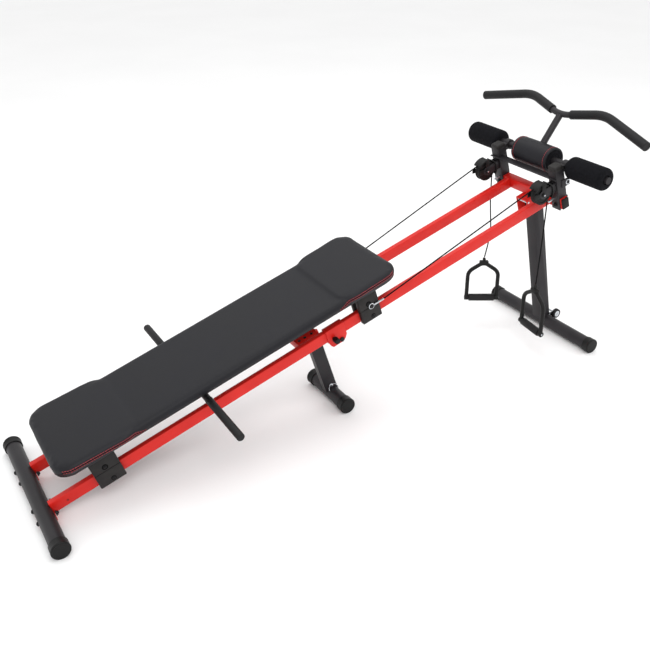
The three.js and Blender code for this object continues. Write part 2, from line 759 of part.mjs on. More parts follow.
function handleGrip() {
  const half = HANDLE_HALF - HANDLE_BAR_R - 0.5 - TURN_GAP;
  const bore = HANDLE_AXLE_R + GAP;
  const profile = [
    [bore, -half],
    [HANDLE_GRIP_R - 2, -half],
    [HANDLE_GRIP_R, -half + 2],
    [HANDLE_GRIP_R, half - 2],
    [HANDLE_GRIP_R - 2, half],
    [bore, half],
  ];
  return turnedY(profile, 24).rotateZ(-Math.PI / 2);
}

// ---- carriage -----------------------------------------------------------------------
// A rectangle with round corners, seen from above.
function roundedOutline([start, end], half, r) {
  const shape = new THREE.Shape();
  shape.moveTo(start, -half + r);
  shape.absarc(start + r, -half + r, r, Math.PI, 1.5 * Math.PI);
  shape.absarc(end - r, -half + r, r, -Math.PI / 2, 0);
  shape.absarc(end - r, half - r, r, 0, Math.PI / 2);
  shape.absarc(start + r, half - r, r, Math.PI / 2, Math.PI);
  return shape;
}

// A slab with round corners and round edges, its lower face at zero.
function cushion([start, end], half, corner, round, thickness) {
  const inset = [start + round, end - round];
  const outline = roundedOutline(inset, half - round, corner - round);
  const geometry = new THREE.ExtrudeGeometry(outline, {
    depth: thickness - 2 * round,
    curveSegments: 5,
    bevelSize: round,
    bevelThickness: round,
    bevelSegments: 3,
  });
  return geometry.translate(0, 0, round);
}

function swell({ start, end, half, tops }) {
  const length = end - start;
  const slope = Math.atan2(tops[1] - tops[0], length);
  const along = [0, Math.hypot(length, tops[1] - tops[0])];
  const slab = cushion(along, half, SWELL_CORNER, SWELL_ROUND, SWELL_THICKNESS);
  slab.translate(0, 0, -SWELL_THICKNESS).rotateY(-slope);
  return slab.translate(start, 0, tops[0]);
}

function pad() {
  const thickness = PAD_TOP - PAD_BOTTOM;
  const middle = cushion([PAD_START, PAD_END], PAD_HALF, PAD_CORNER, PAD_ROUND, thickness);
  middle.translate(0, 0, PAD_BOTTOM);
  return joined(middle, swell(LOW_SWELL), swell(HIGH_SWELL));
}

// The board under the pad.
function board() {
  const options = { depth: BOARD_TOP - BOARD_BOTTOM, curveSegments: 4, bevelEnabled: false };
  const along = [PAD_START + BOARD_INSET, PAD_END - BOARD_INSET];
  const corner = PAD_CORNER - BOARD_INSET;
  const outline = roundedOutline(along, PAD_HALF - BOARD_INSET, corner);
  return new THREE.ExtrudeGeometry(outline, options).translate(0, 0, BOARD_BOTTOM);
}

// A saddle over the rail, open below, with the wheel's axle through its cheeks.
function rollerBlock(u, length, sign) {
  const along = [u - length / 2, u + length / 2];
  const outer = BLOCK_OUTER.map((y) => sign * y);
  const inner = BLOCK_INNER.map((y) => sign * y);
  const cheeks = [outer, inner].map((y) => block(along, y, [BLOCK_BOTTOM, BLOCK_TOP]));
  const roofY = [inner[0], outer[1]];
  const roof = block(along, roofY, [BLOCK_TOP - BLOCK_ROOF, BLOCK_TOP]);
  const seamY = [outer[1] - sign * 1.2, outer[1] + sign];
  const seam = block([along[0] - 1, along[1] + 1], seamY, [SEAM_V, SEAM_V + 1.5]);
  const axle = rodY(WHEEL_AXLE_R, [inner[0] + sign * 5, outer[1] - sign * 5], u, WHEEL_V, 16);
  return joined(cutBy(joined(cheeks[0], cheeks[1], roof), seam), axle);
}

function gripBar() {
  const half = GRIP_BAR_WIDTH / 2;
  return rodY(GRIP_BAR_R, [-half, half], GRIP_BAR_U, GRIP_BAR_V, 24);
}

// ---- assembly -----------------------------------------------------------------------
addFloorBar("low_bar", 0, LOW_BAR_WIDTH, CHARCOAL);
addFloorBar("mid_bar", MID_BAR_X, MID_BAR_WIDTH, CHARCOAL);
addFloorBar("front_bar", FRONT_BAR_X, FRONT_BAR_WIDTH, CHARCOAL);

add(railFrame, "mid_cross_tube", midCross(), RED);
add(railFrame, "mid_leg_pivot_bolt", midPivotBolt(), PLASTIC);
add(railFrame, "mid_leg", midLeg(), CHARCOAL);
add(railFrame, "hitch_pin", hitchPin(), ZINC);
add(railFrame, "head_cross_tube", headCross(), RED);
add(railFrame, "front_leg_pivot_bolt", frontPivotBolt(), ZINC);
add(floorFrame, "front_leg", frontLeg(), CHARCOAL);
add(floorFrame, "wheel_bracket", wheelBracket(), ZINC);
add(railFrame, "roller_tube", axleTube(), CHARCOAL, [AXLE_U, 0, AXLE_V]);
add(railFrame, "head_shelf", shelf(), CHARCOAL);
add(railFrame, "carriage_board", board(), BOARD);
add(railFrame, "seat_pad", pad(), VINYL);
add(railFrame, "carriage_grip_bar", gripBar(), RUBBER);

const [axleX, axleZ] = toFloor(AXLE_U, AXLE_V);
const axlePoint = new THREE.Vector3(axleX, 0, axleZ);
const stemAngle = Math.atan2(LAT_CENTRE[0] - axleX, LAT_CENTRE[2] - axleZ);
add(floorFrame, "head_bolster", bolster(stemAngle), VINYL, [axleX, 0, axleZ]);
add(floorFrame, "lat_bar", latBar(axlePoint), CHARCOAL);

for (const [side, sign] of Object.entries(SIDES)) {
  const rail = [0, sign * RAIL_Y, 0];
  const head = [0, sign * POST_Y, 0];
  add(railFrame, `lower_rail_${side}`, lowerRail(), RED, rail);
  add(railFrame, `hinge_bracket_${side}`, hingeBracket(), RED, rail);
  add(railFrame, `fold_bolt_${side}`, foldBolt(), PLASTIC, rail);
  add(railFrame, `upper_rail_${side}`, upperRail(), RED, rail);
  add(railFrame, `post_${side}`, post(), CHARCOAL, head);
  add(railFrame, `pulley_bracket_${side}`, pulleyBracket(), CHARCOAL, head);
  const hub = [PULLEY_U, sign * POST_Y, PULLEY_V];
  add(railFrame, `pulley_${side}`, pulley(), PLASTIC, hub);
  add(railFrame, `cable_run_${side}`, cableRun(sign), CABLE);
  add(floorFrame, `cable_drop_${side}`, cableDrop(side), CABLE);
  add(floorFrame, `lat_grip_${side}`, latSleeve(sign), RUBBER);
  const roller = add(railFrame, `foam_roller_${side}`, foamRoller(side), FOAM);
  roller.position.set(AXLE_U, 0, AXLE_V);
  if (sign < 0) roller.rotation.x = Math.PI;
  const tyre = wheel(TRANSPORT_R, TRANSPORT_AXLE_R + GAP, TRANSPORT_WIDTH, TRANSPORT_R - 1.5);
  const tyreAt = [TRANSPORT_X, sign * TRANSPORT_Y, TRANSPORT_Z];
  add(floorFrame, `transport_wheel_${side}`, tyre, RUBBER, tyreAt);
  for (const [i, place] of ["low", "high"].entries()) {
    const u = BLOCK_U[i];
    const saddle = rollerBlock(u, BLOCK_LENGTHS[i], sign);
    add(railFrame, `roller_block_${place}_${side}`, saddle, PLASTIC);
    const roll = wheel(WHEEL_R, WHEEL_AXLE_R + GAP, WHEEL_WIDTH);
    const wheelAt = [u, sign * RAIL_Y, WHEEL_V];
    add(railFrame, `carriage_wheel_${place}_${side}`, roll, PLASTIC, wheelAt);
  }
  const grip = new THREE.Group();
  grip.position.set(HANDLE_X, sign * HANDLE_Y, HANDLE_GRIP_Z);
  grip.rotation.z = THREE.MathUtils.degToRad(HANDLE_YAW[side]);
  add(grip, `handle_frame_${side}`, handleFrame(), PLASTIC);
  add(grip, `handle_grip_${side}`, handleGrip(), RUBBER);
  floorFrame.add(grip);
}

export default bench;
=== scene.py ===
"""A folding incline bench with a sliding padded carriage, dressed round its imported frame.

Sizes are in millimetres. Places are given either from the low bar on the floor (x, y, z), or
along the rails (u up the slope, y to the left, v square off the rails).
"""

import json
import logging
import math
from contextlib import contextmanager
from dataclasses import dataclass
from enum import Enum
from typing import Iterable, Iterator, Sequence

import bpy
from mathutils import Matrix, Vector


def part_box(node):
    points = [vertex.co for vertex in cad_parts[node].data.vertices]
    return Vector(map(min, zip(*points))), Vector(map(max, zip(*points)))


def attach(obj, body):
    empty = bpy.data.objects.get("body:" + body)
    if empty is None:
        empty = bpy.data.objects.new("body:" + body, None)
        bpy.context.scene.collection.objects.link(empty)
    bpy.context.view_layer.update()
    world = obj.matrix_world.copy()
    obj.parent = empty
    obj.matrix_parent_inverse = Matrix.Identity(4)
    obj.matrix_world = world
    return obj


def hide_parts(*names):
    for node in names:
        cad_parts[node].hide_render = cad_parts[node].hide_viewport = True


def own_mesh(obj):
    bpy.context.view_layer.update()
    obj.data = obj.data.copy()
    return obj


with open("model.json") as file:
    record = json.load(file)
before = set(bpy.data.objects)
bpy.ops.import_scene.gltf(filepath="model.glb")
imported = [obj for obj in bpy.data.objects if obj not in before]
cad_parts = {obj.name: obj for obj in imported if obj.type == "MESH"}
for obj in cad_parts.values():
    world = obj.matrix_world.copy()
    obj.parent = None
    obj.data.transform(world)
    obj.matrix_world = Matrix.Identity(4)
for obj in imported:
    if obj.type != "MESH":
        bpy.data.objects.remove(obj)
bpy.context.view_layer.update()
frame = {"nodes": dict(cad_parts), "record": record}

LOG = logging.getLogger("bench")
MM = 0.001
SIDES = {"left": 1, "right": -1}
Triple = tuple[float, float, float]


class Turn(Enum):
    """Which way a piece that was made upright points once it is placed."""

    UP = Matrix.Identity(4)
    LEFT = Matrix.Rotation(-math.pi / 2, 4, "X")
    RIGHT = Matrix.Rotation(math.pi / 2, 4, "X")
    FORWARD = Matrix.Rotation(math.pi / 2, 4, "Y")
    BACK = Matrix.Rotation(-math.pi / 2, 4, "Y")

    @staticmethod
    def outward(sign: int) -> "Turn":
        """The turn that points away from the middle on one side."""
        return Turn.LEFT if sign > 0 else Turn.RIGHT


# ---- places --------------------------------------------------------------------------
def node_middle(name: str) -> Vector:
    """The middle of a CAD node's box, in metres."""
    low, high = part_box(name)
    return (low + high) / 2


def joint(name: str) -> dict:
    """The record's entry for one joint."""
    return next(j for j in frame["record"]["behaviour"]["joints"] if j["name"] == name)


def at(x: float = 0, y: float = 0, z: float = 0) -> Matrix:
    """The matrix of a shift in millimetres."""
    return Matrix.Translation(Vector((x, y, z)) * MM)


RAIL_RISE = 5.15  # the rails' line passes this far above the low bar's axis
LOW_BAR = node_middle("low_bar")
SLOPE = Vector(joint("carriage_slide")["axis"])
INCLINE = math.atan2(SLOPE.z, SLOPE.x)
RAIL_FRAME = Matrix.Translation((LOW_BAR.x, 0, LOW_BAR.z + RAIL_RISE * MM)) @ Matrix.Rotation(
    -INCLINE, 4, "Y"
)
FLOOR_FRAME = Matrix.Translation((LOW_BAR.x, 0, 0))


def on_rails(u: float, y: float, v: float, turn: Turn = Turn.UP) -> Matrix:
    """A place along the rails.

    Args:
        u, y, v: millimetres up the slope, to the left and off the rails.
        turn: which way the piece points.
    Returns:
        The matrix that puts a piece there.
    """
    return RAIL_FRAME @ at(u, y, v) @ turn.value


# ---- finishes ------------------------------------------------------------------------
def linear(colour: str) -> tuple[float, float, float, float]:
    """A linear RGBA colour from an sRGB hex value such as 'e23a2c'."""
    parts = [int(colour[i : i + 2], 16) / 255 for i in (0, 2, 4)]
    flat = [p / 12.92 if p <= 0.04045 else ((p + 0.055) / 1.055) ** 2.4 for p in parts]
    return (flat[0], flat[1], flat[2], 1.0)


def add_node(tree: bpy.types.NodeTree, kind: str, settings: dict, links: dict) -> bpy.types.Node:
    """Add a node to a material.

    Args:
        tree: the material's node tree.
        kind: the node's type name.
        settings: attributes, or unlinked inputs, by name or number.
        links: outputs that feed its inputs, by input name or number.
    Returns:
        The new node.
    """
    node = tree.nodes.new(kind)
    for key, value in settings.items():
        if isinstance(key, str) and hasattr(node, key):
            setattr(node, key, value)
        else:
            node.inputs[key].default_value = value
    for key, output in links.items():
        tree.links.new(output, node.inputs[key])
    return node


def per_mm(size: float) -> float:
    """The scale of a texture whose features are that many millimetres across."""
    return 1000.0 / size


@dataclass(frozen=True)
class Finish:
    """A surface with two close shades, a fine bump and a slightly uneven gloss."""

    name: str
    slot: str
    colour: str
    shade: str
    roughness: float
    metallic: float = 0.0
    grain_mm: float = 1.0
    grain_depth: float = 0.1
    patch_mm: float = 60.0
    uneven: float = 0.06
    coat: float = 0.0
    sheen: float = 0.0
    shine: float = 0.5

    def material(self) -> bpy.types.Material:
        """The finish as a material, made once and then shared."""
        found = bpy.data.materials.get(self.name)
        return found or self.build()

    def build(self) -> bpy.types.Material:
        """Make the material's nodes and return it."""
        made = bpy.data.materials.new(self.name)
        made.use_nodes = True
        tree = made.node_tree
        shader = tree.nodes["Principled BSDF"]
        shader.inputs["Metallic"].default_value = self.metallic
        shader.inputs["Coat Weight"].default_value = self.coat
        shader.inputs["Coat Roughness"].default_value = 0.12
        shader.inputs["Sheen Weight"].default_value = self.sheen
        shader.inputs["Specular IOR Level"].default_value = self.shine
        place = add_node(tree, "ShaderNodeTexCoord", {}, {}).outputs["Object"]
        self.paint(tree, shader, place)
        self.emboss(tree, shader, place)
        made.diffuse_color = linear(self.colour)
        return made

    def paint(self, tree: bpy.types.NodeTree, shader: bpy.types.Node, place: bpy.types.NodeSocket):
        """Mix the two shades, and the gloss, in soft patches."""
        scale = per_mm(self.patch_mm)
        patch = add_node(tree, "ShaderNodeTexNoise", {"Scale": scale, "Detail": 4.0}, {"Vector": place})
        ramp = add_node(tree, "ShaderNodeValToRGB", {}, {"Fac": patch.outputs["Fac"]})
        ramp.color_ramp.elements[0].position = 0.35
        ramp.color_ramp.elements[1].position = 0.65
        ramp.color_ramp.elements[0].color = linear(self.shade)
        ramp.color_ramp.elements[1].color = linear(self.colour)
        tree.links.new(ramp.outputs["Color"], shader.inputs["Base Color"])
        limits = {"To Min": self.roughness - self.uneven, "To Max": self.roughness + self.uneven}
        gloss = add_node(tree, "ShaderNodeMapRange", limits, {"Value": patch.outputs["Fac"]})
        tree.links.new(gloss.outputs["Result"], shader.inputs["Roughness"])

    def relief(self, tree: bpy.types.NodeTree, place: bpy.types.NodeSocket) -> bpy.types.NodeSocket:
        """The height that the bump reads: fine noise, unless a finish says otherwise."""
        settings = {"Scale": per_mm(self.grain_mm), "Detail": 3.0}
        return add_node(tree, "ShaderNodeTexNoise", settings, {"Vector": place}).outputs["Fac"]

    def emboss(self, tree: bpy.types.NodeTree, shader: bpy.types.Node, place: bpy.types.NodeSocket):
        """Feed the relief to the shader as a bump."""
        settings = {"Strength": self.grain_depth, "Distance": self.grain_mm * MM}
        bump = add_node(tree, "ShaderNodeBump", settings, {"Height": self.relief(tree, place)})
        tree.links.new(bump.outputs["Normal"], shader.inputs["Normal"])


@dataclass(frozen=True)
class GrainedVinyl(Finish):
    """Upholstery vinyl: small rounded pebbles between fine creases."""

    def relief(self, tree: bpy.types.NodeTree, place: bpy.types.NodeSocket) -> bpy.types.NodeSocket:
        """Pebbles from a cell pattern, softened at their creases."""
        settings = {"feature": "SMOOTH_F1", "Scale": per_mm(self.grain_mm), "Smoothness": 0.4}
        cells = add_node(tree, "ShaderNodeTexVoronoi", settings, {"Vector": place})
        limits = {"To Min": 1.0, "To Max": 0.0}
        return add_node(tree, "ShaderNodeMapRange", limits, {"Value": cells.outputs["Distance"]}).outputs[
            "Result"
        ]


@dataclass(frozen=True)
class TwistedCord(Finish):
    """Braided nylon over steel wire: slanting strands."""

    def relief(self, tree: bpy.types.NodeTree, place: bpy.types.NodeSocket) -> bpy.types.NodeSocket:
        """Diagonal bands, one for each strand."""
        settings = {"Scale": per_mm(self.grain_mm) / 20, "bands_direction": "DIAGONAL"}
        return add_node(tree, "ShaderNodeTexWave", settings, {"Vector": place}).outputs["Fac"]


@dataclass(frozen=True)
class Plywood(Finish):
    """Stained plywood: long wavy grain."""

    def relief(self, tree: bpy.types.NodeTree, place: bpy.types.NodeSocket) -> bpy.types.NodeSocket:
        """Grain lines that run along the board."""
        settings = {"Scale": per_mm(self.grain_mm) / 20, "Distortion": 6.0, "bands_direction": "Y"}
        return add_node(tree, "ShaderNodeTexWave", settings, {"Vector": place}).outputs["Fac"]


# Red powder coat on steel: a glossy skin with a faint orange peel, 2 mm from dimple to dimple.
RED = Finish(
    "red_powder_coat", "red_paint", "cf1f16", "c41810", roughness=0.42, grain_mm=2.0,
    grain_depth=0.05, patch_mm=90, uneven=0.04, coat=0.05, shine=0.3,
)
# Charcoal powder coat: satin, a little warm, with the same faint peel.
CHARCOAL = Finish(
    "charcoal_powder_coat", "charcoal_paint", "2b292b", "242225", roughness=0.45, metallic=0.2,
    grain_mm=2.0, grain_depth=0.06, patch_mm=80, shine=0.3,
)
# Injection moulded polypropylene: spark-eroded, so it scatters a soft grey highlight.
PLASTIC = Finish(
    "moulded_polypropylene", "black_plastic", "252322", "1d1b1b", roughness=0.55, grain_mm=0.9,
    grain_depth=0.2, patch_mm=40, shine=0.25,
)
# The same plastic, made darker as painted shade where it is ribbed or in shadow: nearly black.
SHADED_PLASTIC = Finish(
    "polypropylene_in_painted_shade", "black_plastic", "0c0c0c", "080808", roughness=0.5, grain_mm=0.9,
    grain_depth=0.2, patch_mm=40, shine=0.25,
)
# Vulcanised rubber sleeve: matt, with a dry bloom.
RUBBER = Finish(
    "rubber_sleeve", "rubber", "121113", "0d0d0e", roughness=0.58, grain_mm=1.2, grain_depth=0.18,
    patch_mm=50, uneven=0.08, shine=0.3,
)
# Nitrile foam with a closed skin: pores 2.5 mm apart, drawn twice their size so that they show.
FOAM = Finish(
    "nitrile_foam", "foam", "131317", "0d0d10", roughness=0.92, grain_mm=2.5, grain_depth=0.7,
    patch_mm=9, uneven=0.04, shine=0.12,
)
# Upholstery vinyl over foam: a pebble grain of about 1.8 mm and a wide, cool sheen.
VINYL = GrainedVinyl(
    "upholstery_vinyl", "vinyl", "0e0e15", "0b0b11", roughness=0.5, grain_mm=1.8, grain_depth=0.22,
    patch_mm=140, uneven=0.05, shine=0.28,
)
# Painted shade: near black for the folded seam between two rows of stitches, the same vinyl in deep shade,
# and for the bolt recesses in the roller blocks.
CREVICE_SHADE = Finish(
    "painted_crevice_shade", "vinyl", "040404", "030303", roughness=0.8, patch_mm=20, uneven=0.05, shine=0.1,
)
# Polyester thread: red, a little faded where it stands proud.
THREAD = Finish(
    "polyester_thread", "vinyl", "c8202f", "9c1826", roughness=0.6, grain_mm=0.8, grain_depth=0.2,
    patch_mm=6, uneven=0.05, sheen=0.3,
)
# Bright zinc plate on steel: pale, with a cloudy gloss.
ZINC = Finish(
    "zinc_plate", "zinc_steel", "d5d8dc", "b9bdc2", roughness=0.26, metallic=1.0, grain_mm=0.8,
    grain_depth=0.04, patch_mm=14, uneven=0.08,
)
# Black oxide steel: bolts and nuts with an oily, dark sheen.
OXIDE = Finish(
    "black_oxide_steel", "black_steel", "1e1d1f", "171618", roughness=0.38, metallic=0.6,
    grain_mm=0.8, grain_depth=0.06, patch_mm=12, uneven=0.08,
)
# Nylon coated steel cable: black, with the lay of its strands.
CORD = TwistedCord(
    "nylon_cable", "cable", "0b0b0c", "070708", roughness=0.7, grain_mm=3.0, grain_depth=0.5,
    patch_mm=8, uneven=0.05, shine=0.1,
)
# Plywood stained black: the grain still stands out a little, 6 mm from line to line.
BOARD = Plywood(
    "black_stained_plywood", "board", "1a1918", "131211", roughness=0.75, grain_mm=6.0,
    grain_depth=0.15, patch_mm=30,
)

# Matt floor paint: nearly white, and even.
FLOOR_PAINT = Finish(
    "studio_floor_paint", "red_paint", "f4f4f4", "f2f2f2", roughness=0.85, grain_mm=4.0,
    grain_depth=0.0, patch_mm=900, uneven=0.02,
)


# ---- modelling tools -----------------------------------------------------------------
def only(piece: bpy.types.Object) -> bpy.types.Object:
    """Select one piece and nothing else, and return it."""
    bpy.ops.object.select_all(action="DESELECT")
    piece.select_set(True)
    bpy.context.view_layer.objects.active = piece
    return piece


def linked(name: str, data: bpy.types.ID) -> bpy.types.Object:
    """A new object in the scene around its data."""
    made = bpy.data.objects.new(name, data)
    bpy.context.collection.objects.link(made)
    return made


@contextmanager
def editing(piece: bpy.types.Object) -> Iterator[None]:
    """Open a piece in edit mode with all of it selected, and close it again."""
    only(piece)
    bpy.ops.object.mode_set(mode="EDIT")
    bpy.ops.mesh.select_all(action="SELECT")
    yield
    bpy.ops.object.mode_set(mode="OBJECT")


def modifier(piece: bpy.types.Object, kind: str, **settings: object) -> None:
    """Add a modifier with its settings and apply it at once."""
    only(piece)
    made = piece.modifiers.new(kind.lower(), kind)
    for key, value in settings.items():
        setattr(made, key, value)
    bpy.ops.object.modifier_apply(modifier=made.name)


def face_out(piece: bpy.types.Object) -> None:
    """Merge doubles and turn every face outwards."""
    with editing(piece):
        bpy.ops.mesh.remove_doubles(threshold=1e-6)
        bpy.ops.mesh.normals_make_consistent(inside=False)


def turned(profile: Sequence[tuple[float, float]], segments: int = 48) -> bpy.types.Object:
    """Raise a turned solid from a filled circle, one step of its profile at a time.

    Args:
        profile: (radius, height) in millimetres, from the bottom face to the top one.
        segments: how many flats the circle has.
    Returns:
        The solid, standing on its axis at the origin.
    """
    bpy.ops.object.select_all(action="DESELECT")
    radius, height = profile[0]
    bpy.ops.mesh.primitive_circle_add(
        vertices=segments, radius=radius * MM, fill_type="NGON", location=(0, 0, height * MM)
    )
    piece = bpy.context.object
    bpy.ops.object.transform_apply(location=True)
    with editing(piece):
        for next_radius, next_height in profile[1:]:
            step = (0, 0, (next_height - height) * MM)
            bpy.ops.mesh.extrude_region_move(TRANSFORM_OT_translate={"value": step})
            ratio = next_radius / radius
            middle = (0, 0, next_height * MM)
            bpy.ops.transform.resize(value=(ratio, ratio, 1), center_override=middle)
            radius, height = next_radius, next_height
        bpy.ops.mesh.select_all(action="SELECT")
        bpy.ops.mesh.normals_make_consistent(inside=False)
    return piece


def slab(size: Triple, edge: float, segments: int = 3) -> bpy.types.Object:
    """A rounded block about the origin.

    Args:
        size: its length, width and height in millimetres.
        edge: the radius of its edges in millimetres.
        segments: how many flats round each edge.
    Returns:
        The block.
    """
    bpy.ops.object.select_all(action="DESELECT")
    bpy.ops.mesh.primitive_cube_add(size=1, scale=[s * MM for s in size])
    piece = bpy.context.object
    bpy.ops.object.transform_apply(scale=True)
    modifier(piece, "BEVEL", width=edge * MM, segments=segments, limit_method="NONE")
    return piece


def pipe(points: Iterable[Vector], radius: float, sides: int = 16, closed: bool = False) -> bpy.types.Object:
    """A round bar along a line of points in metres, with flat ends.

    Args:
        points: the line, close together where it bends.
        radius: in millimetres.
        sides: flats round the section, a multiple of four.
        closed: whether the line runs back to its start.
    Returns:
        The bar as a mesh.
    """
    data = bpy.data.curves.new("pipe", "CURVE")
    data.dimensions = "3D"
    line = list(points)
    spline = data.splines.new("POLY")
    spline.points.add(len(line) - 1)
    for knot, point in zip(spline.points, line):
        knot.co = (*point, 1)
    spline.use_cyclic_u = closed
    data.bevel_depth = radius * MM
    data.bevel_resolution = sides // 4
    data.use_fill_caps = not closed
    only(linked("pipe", data))
    bpy.ops.object.convert(target="MESH")
    piece = bpy.context.object
    face_out(piece)
    return piece


def arc_plate(inner: float, wall: float, width: float, start: float, sweep: float) -> bpy.types.Object:
    """A curved plate about the Y axis.

    Args:
        inner, wall, width: its inner radius, thickness and width in millimetres.
        start: the angle of its first edge above the X axis, in degrees.
        sweep: how far it is spun from there, in degrees.
    Returns:
        The plate.
    """
    bpy.ops.object.select_all(action="DESELECT")
    bpy.ops.mesh.primitive_plane_add(size=1)
    plate = bpy.context.object
    plate.scale = (wall * MM, width * MM, 1)
    plate.location = ((inner + wall / 2) * MM, 0, 0)
    bpy.ops.object.transform_apply(location=True, scale=True)
    put(plate, Matrix.Rotation(math.radians(-start), 4, "Y"))
    with editing(plate):
        bpy.ops.mesh.spin(steps=20, angle=math.radians(-sweep), center=(0, 0, 0), axis=(0, 1, 0))
    face_out(plate)
    modifier(plate, "BEVEL", width=0.8 * MM, segments=2, angle_limit=math.radians(50))
    return plate


def ring(radius: float, wire: float) -> bpy.types.Object:
    """A wire ring about the upright axis, sizes in millimetres."""
    count = 40
    angles = (2 * math.pi * i / count for i in range(count))
    circle = [Vector((math.cos(a), math.sin(a), 0)) * radius * MM for a in angles]
    return pipe(circle, wire, 12, closed=True)


def put(piece: bpy.types.Object, place: Matrix) -> bpy.types.Object:
    """Move a piece to its place and leave its object unturned at the origin."""
    only(piece)
    piece.matrix_world = place @ piece.matrix_world
    bpy.ops.object.transform_apply(location=True, rotation=True, scale=True)
    return piece


def copy_of(piece: bpy.types.Object, place: Matrix) -> bpy.types.Object:
    """A copy with its own mesh, moved to its place."""
    made = piece.copy()
    made.data = piece.data.copy()
    bpy.context.collection.objects.link(made)
    return put(made, place)


def joined(parts: Sequence[bpy.types.Object]) -> bpy.types.Object:
    """Several parts as one piece."""
    only(parts[0])
    for part in parts[1:]:
        part.select_set(True)
    bpy.ops.object.join()
    return bpy.context.object


def discard(*pieces: bpy.types.Object) -> None:
    """Remove patterns that copies were taken from."""
    for piece in pieces:
        bpy.data.objects.remove(piece)


def repeated(pattern: bpy.types.Object, places: Sequence[Matrix]) -> bpy.types.Object:
    """Copies of a pattern joined as one piece; the pattern itself goes."""
    parts = [copy_of(pattern, place) for place in places]
    discard(pattern)
    return joined(parts)


def softened(node: str, edge: float, shortest: float = 12.0) -> bpy.types.Object:
    """A copy of a CAD node with its long sharp edges rounded.

    Args:
        node: the CAD node's name.
        edge: the radius in millimetres.
        shortest: edges shorter than this many millimetres stay sharp.
    Returns:
        The copy.
    """
    piece = linked(node, frame["nodes"][node].data.copy())
    piece.data.materials.clear()
    only(piece)
    bpy.ops.object.mode_set(mode="EDIT")
    bpy.ops.mesh.select_all(action="SELECT")
    bpy.ops.mesh.remove_doubles(threshold=2e-5)
    bpy.ops.mesh.dissolve_limited(angle_limit=math.radians(1))
    bpy.ops.mesh.select_all(action="DESELECT")
    bpy.ops.mesh.select_mode(type="EDGE")
    bpy.ops.mesh.edges_select_sharp(sharpness=math.radians(50))
    bpy.ops.object.mode_set(mode="OBJECT")
    points = piece.data.vertices
    for line in piece.data.edges:
        a, b = (points[i].co for i in line.vertices)
        line.select = line.select and (a - b).length > shortest * MM
    bpy.ops.object.mode_set(mode="EDIT")
    bpy.ops.mesh.bevel(offset=edge * MM, segments=2, clamp_overlap=True)
    bpy.ops.mesh.select_mode(type="VERT")
    bpy.ops.object.mode_set(mode="OBJECT")
    return piece


def finish(
    piece: bpy.types.Object,
    name: str,
    look: Finish,
    body: str,
    nodes: Sequence[str] = (),
    smooth: float = 35.0,
) -> bpy.types.Object:
    """Name, dress and hang a finished piece.

    Args:
        piece: the piece, in its place.
        name: its name.
        look: its finish.
        body: the CAD body it moves with.
        nodes: the CAD nodes it stands for.
        smooth: faces that meet under this many degrees are shaded as one.
    Returns:
        The piece.
    """
    only(piece)
    piece.name = name
    bpy.ops.object.shade_smooth_by_angle(angle=math.radians(smooth))
    piece.data.materials.clear()
    piece.data.materials.append(look.material())
    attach(piece, body)
    if nodes:
        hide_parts(*nodes)
    LOG.info("%s on %s, %d faces", name, body, len(piece.data.polygons))
    return piece


def dress(node: str, look: Finish) -> None:
    """Give a CAD node that stays a procedural finish."""
    data = frame["nodes"][node].data
    data.materials.clear()
    data.materials.append(look.material())
    LOG.info("%s keeps its CAD shape", node)


def scattered(pattern: bpy.types.Object, places: Sequence[Matrix]) -> bpy.types.Object:
    """Many copies of a small pattern as one mesh.

    Args:
        pattern: the piece that is repeated, which is removed.
        places: one matrix for each copy.
    Returns:
        The copies as one piece.
    """
    points = [v.co.copy() for v in pattern.data.vertices]
    faces = [list(p.vertices) for p in pattern.data.polygons]
    all_points = [place @ point for place in places for point in points]
    count = len(points)
    all_faces = [[i + k * count for i in face] for k in range(len(places)) for face in faces]
    data = bpy.data.meshes.new("scattered")
    data.from_pydata(all_points, [], all_faces)
    discard(pattern)
    return linked("scattered", data)


def rounded_line(corners: Sequence[Vector], reach: float, steps: int = 8) -> list[Vector]:
    """A line through corners in metres, each inner corner rounded from `reach` mm before it."""
    line = [corners[0]]
    for before, corner, after in zip(corners, corners[1:], corners[2:]):
        enter = corner + (before - corner).normalized() * reach * MM
        leave = corner + (after - corner).normalized() * reach * MM
        for i in range(steps + 1):
            t = i / steps
            line.append(enter * (1 - t) ** 2 + corner * 2 * t * (1 - t) + leave * t * t)
    return line + [corners[-1]]


def evenly(line: Sequence[Vector], spacing: float) -> list[tuple[Vector, Vector]]:
    """Points at an even spacing along a line, each with the line's direction there."""
    found = []
    due = spacing / 2
    walked = 0.0
    for a, b in zip(line, line[1:]):
        length = (b - a).length
        while length > 0 and due <= walked + length:
            found.append((a.lerp(b, (due - walked) / length), (b - a).normalized()))
            due += spacing
        walked += length
    return found


def stitches(line: Sequence[Vector], normals: Sequence[Vector]) -> bpy.types.Object:
    """A row of thread stitches laid along a line on a surface.

    Args:
        line: points on the surface in metres.
        normals: the surface's normal at each of them.
    Returns:
        The row as one piece.
    """
    length, gap, thick = 5.4, 2.2, 0.75
    end, shoulder = length / 2, length / 3
    profile = [(thick * 0.4, -end), (thick, -shoulder), (thick, shoulder), (thick * 0.4, end)]
    places = []
    for point, along in evenly(line, (length + gap) * MM):
        nearest = min(range(len(line)), key=lambda i: (line[i] - point).length)
        out = (normals[nearest] - along * normals[nearest].dot(along)).normalized()
        across = along.cross(out)
        axes = Matrix((across, out, along)).transposed().to_4x4()
        places.append(Matrix.Translation(point + out * thick * 0.2 * MM) @ axes)
    return scattered(turned(profile, 6), places)


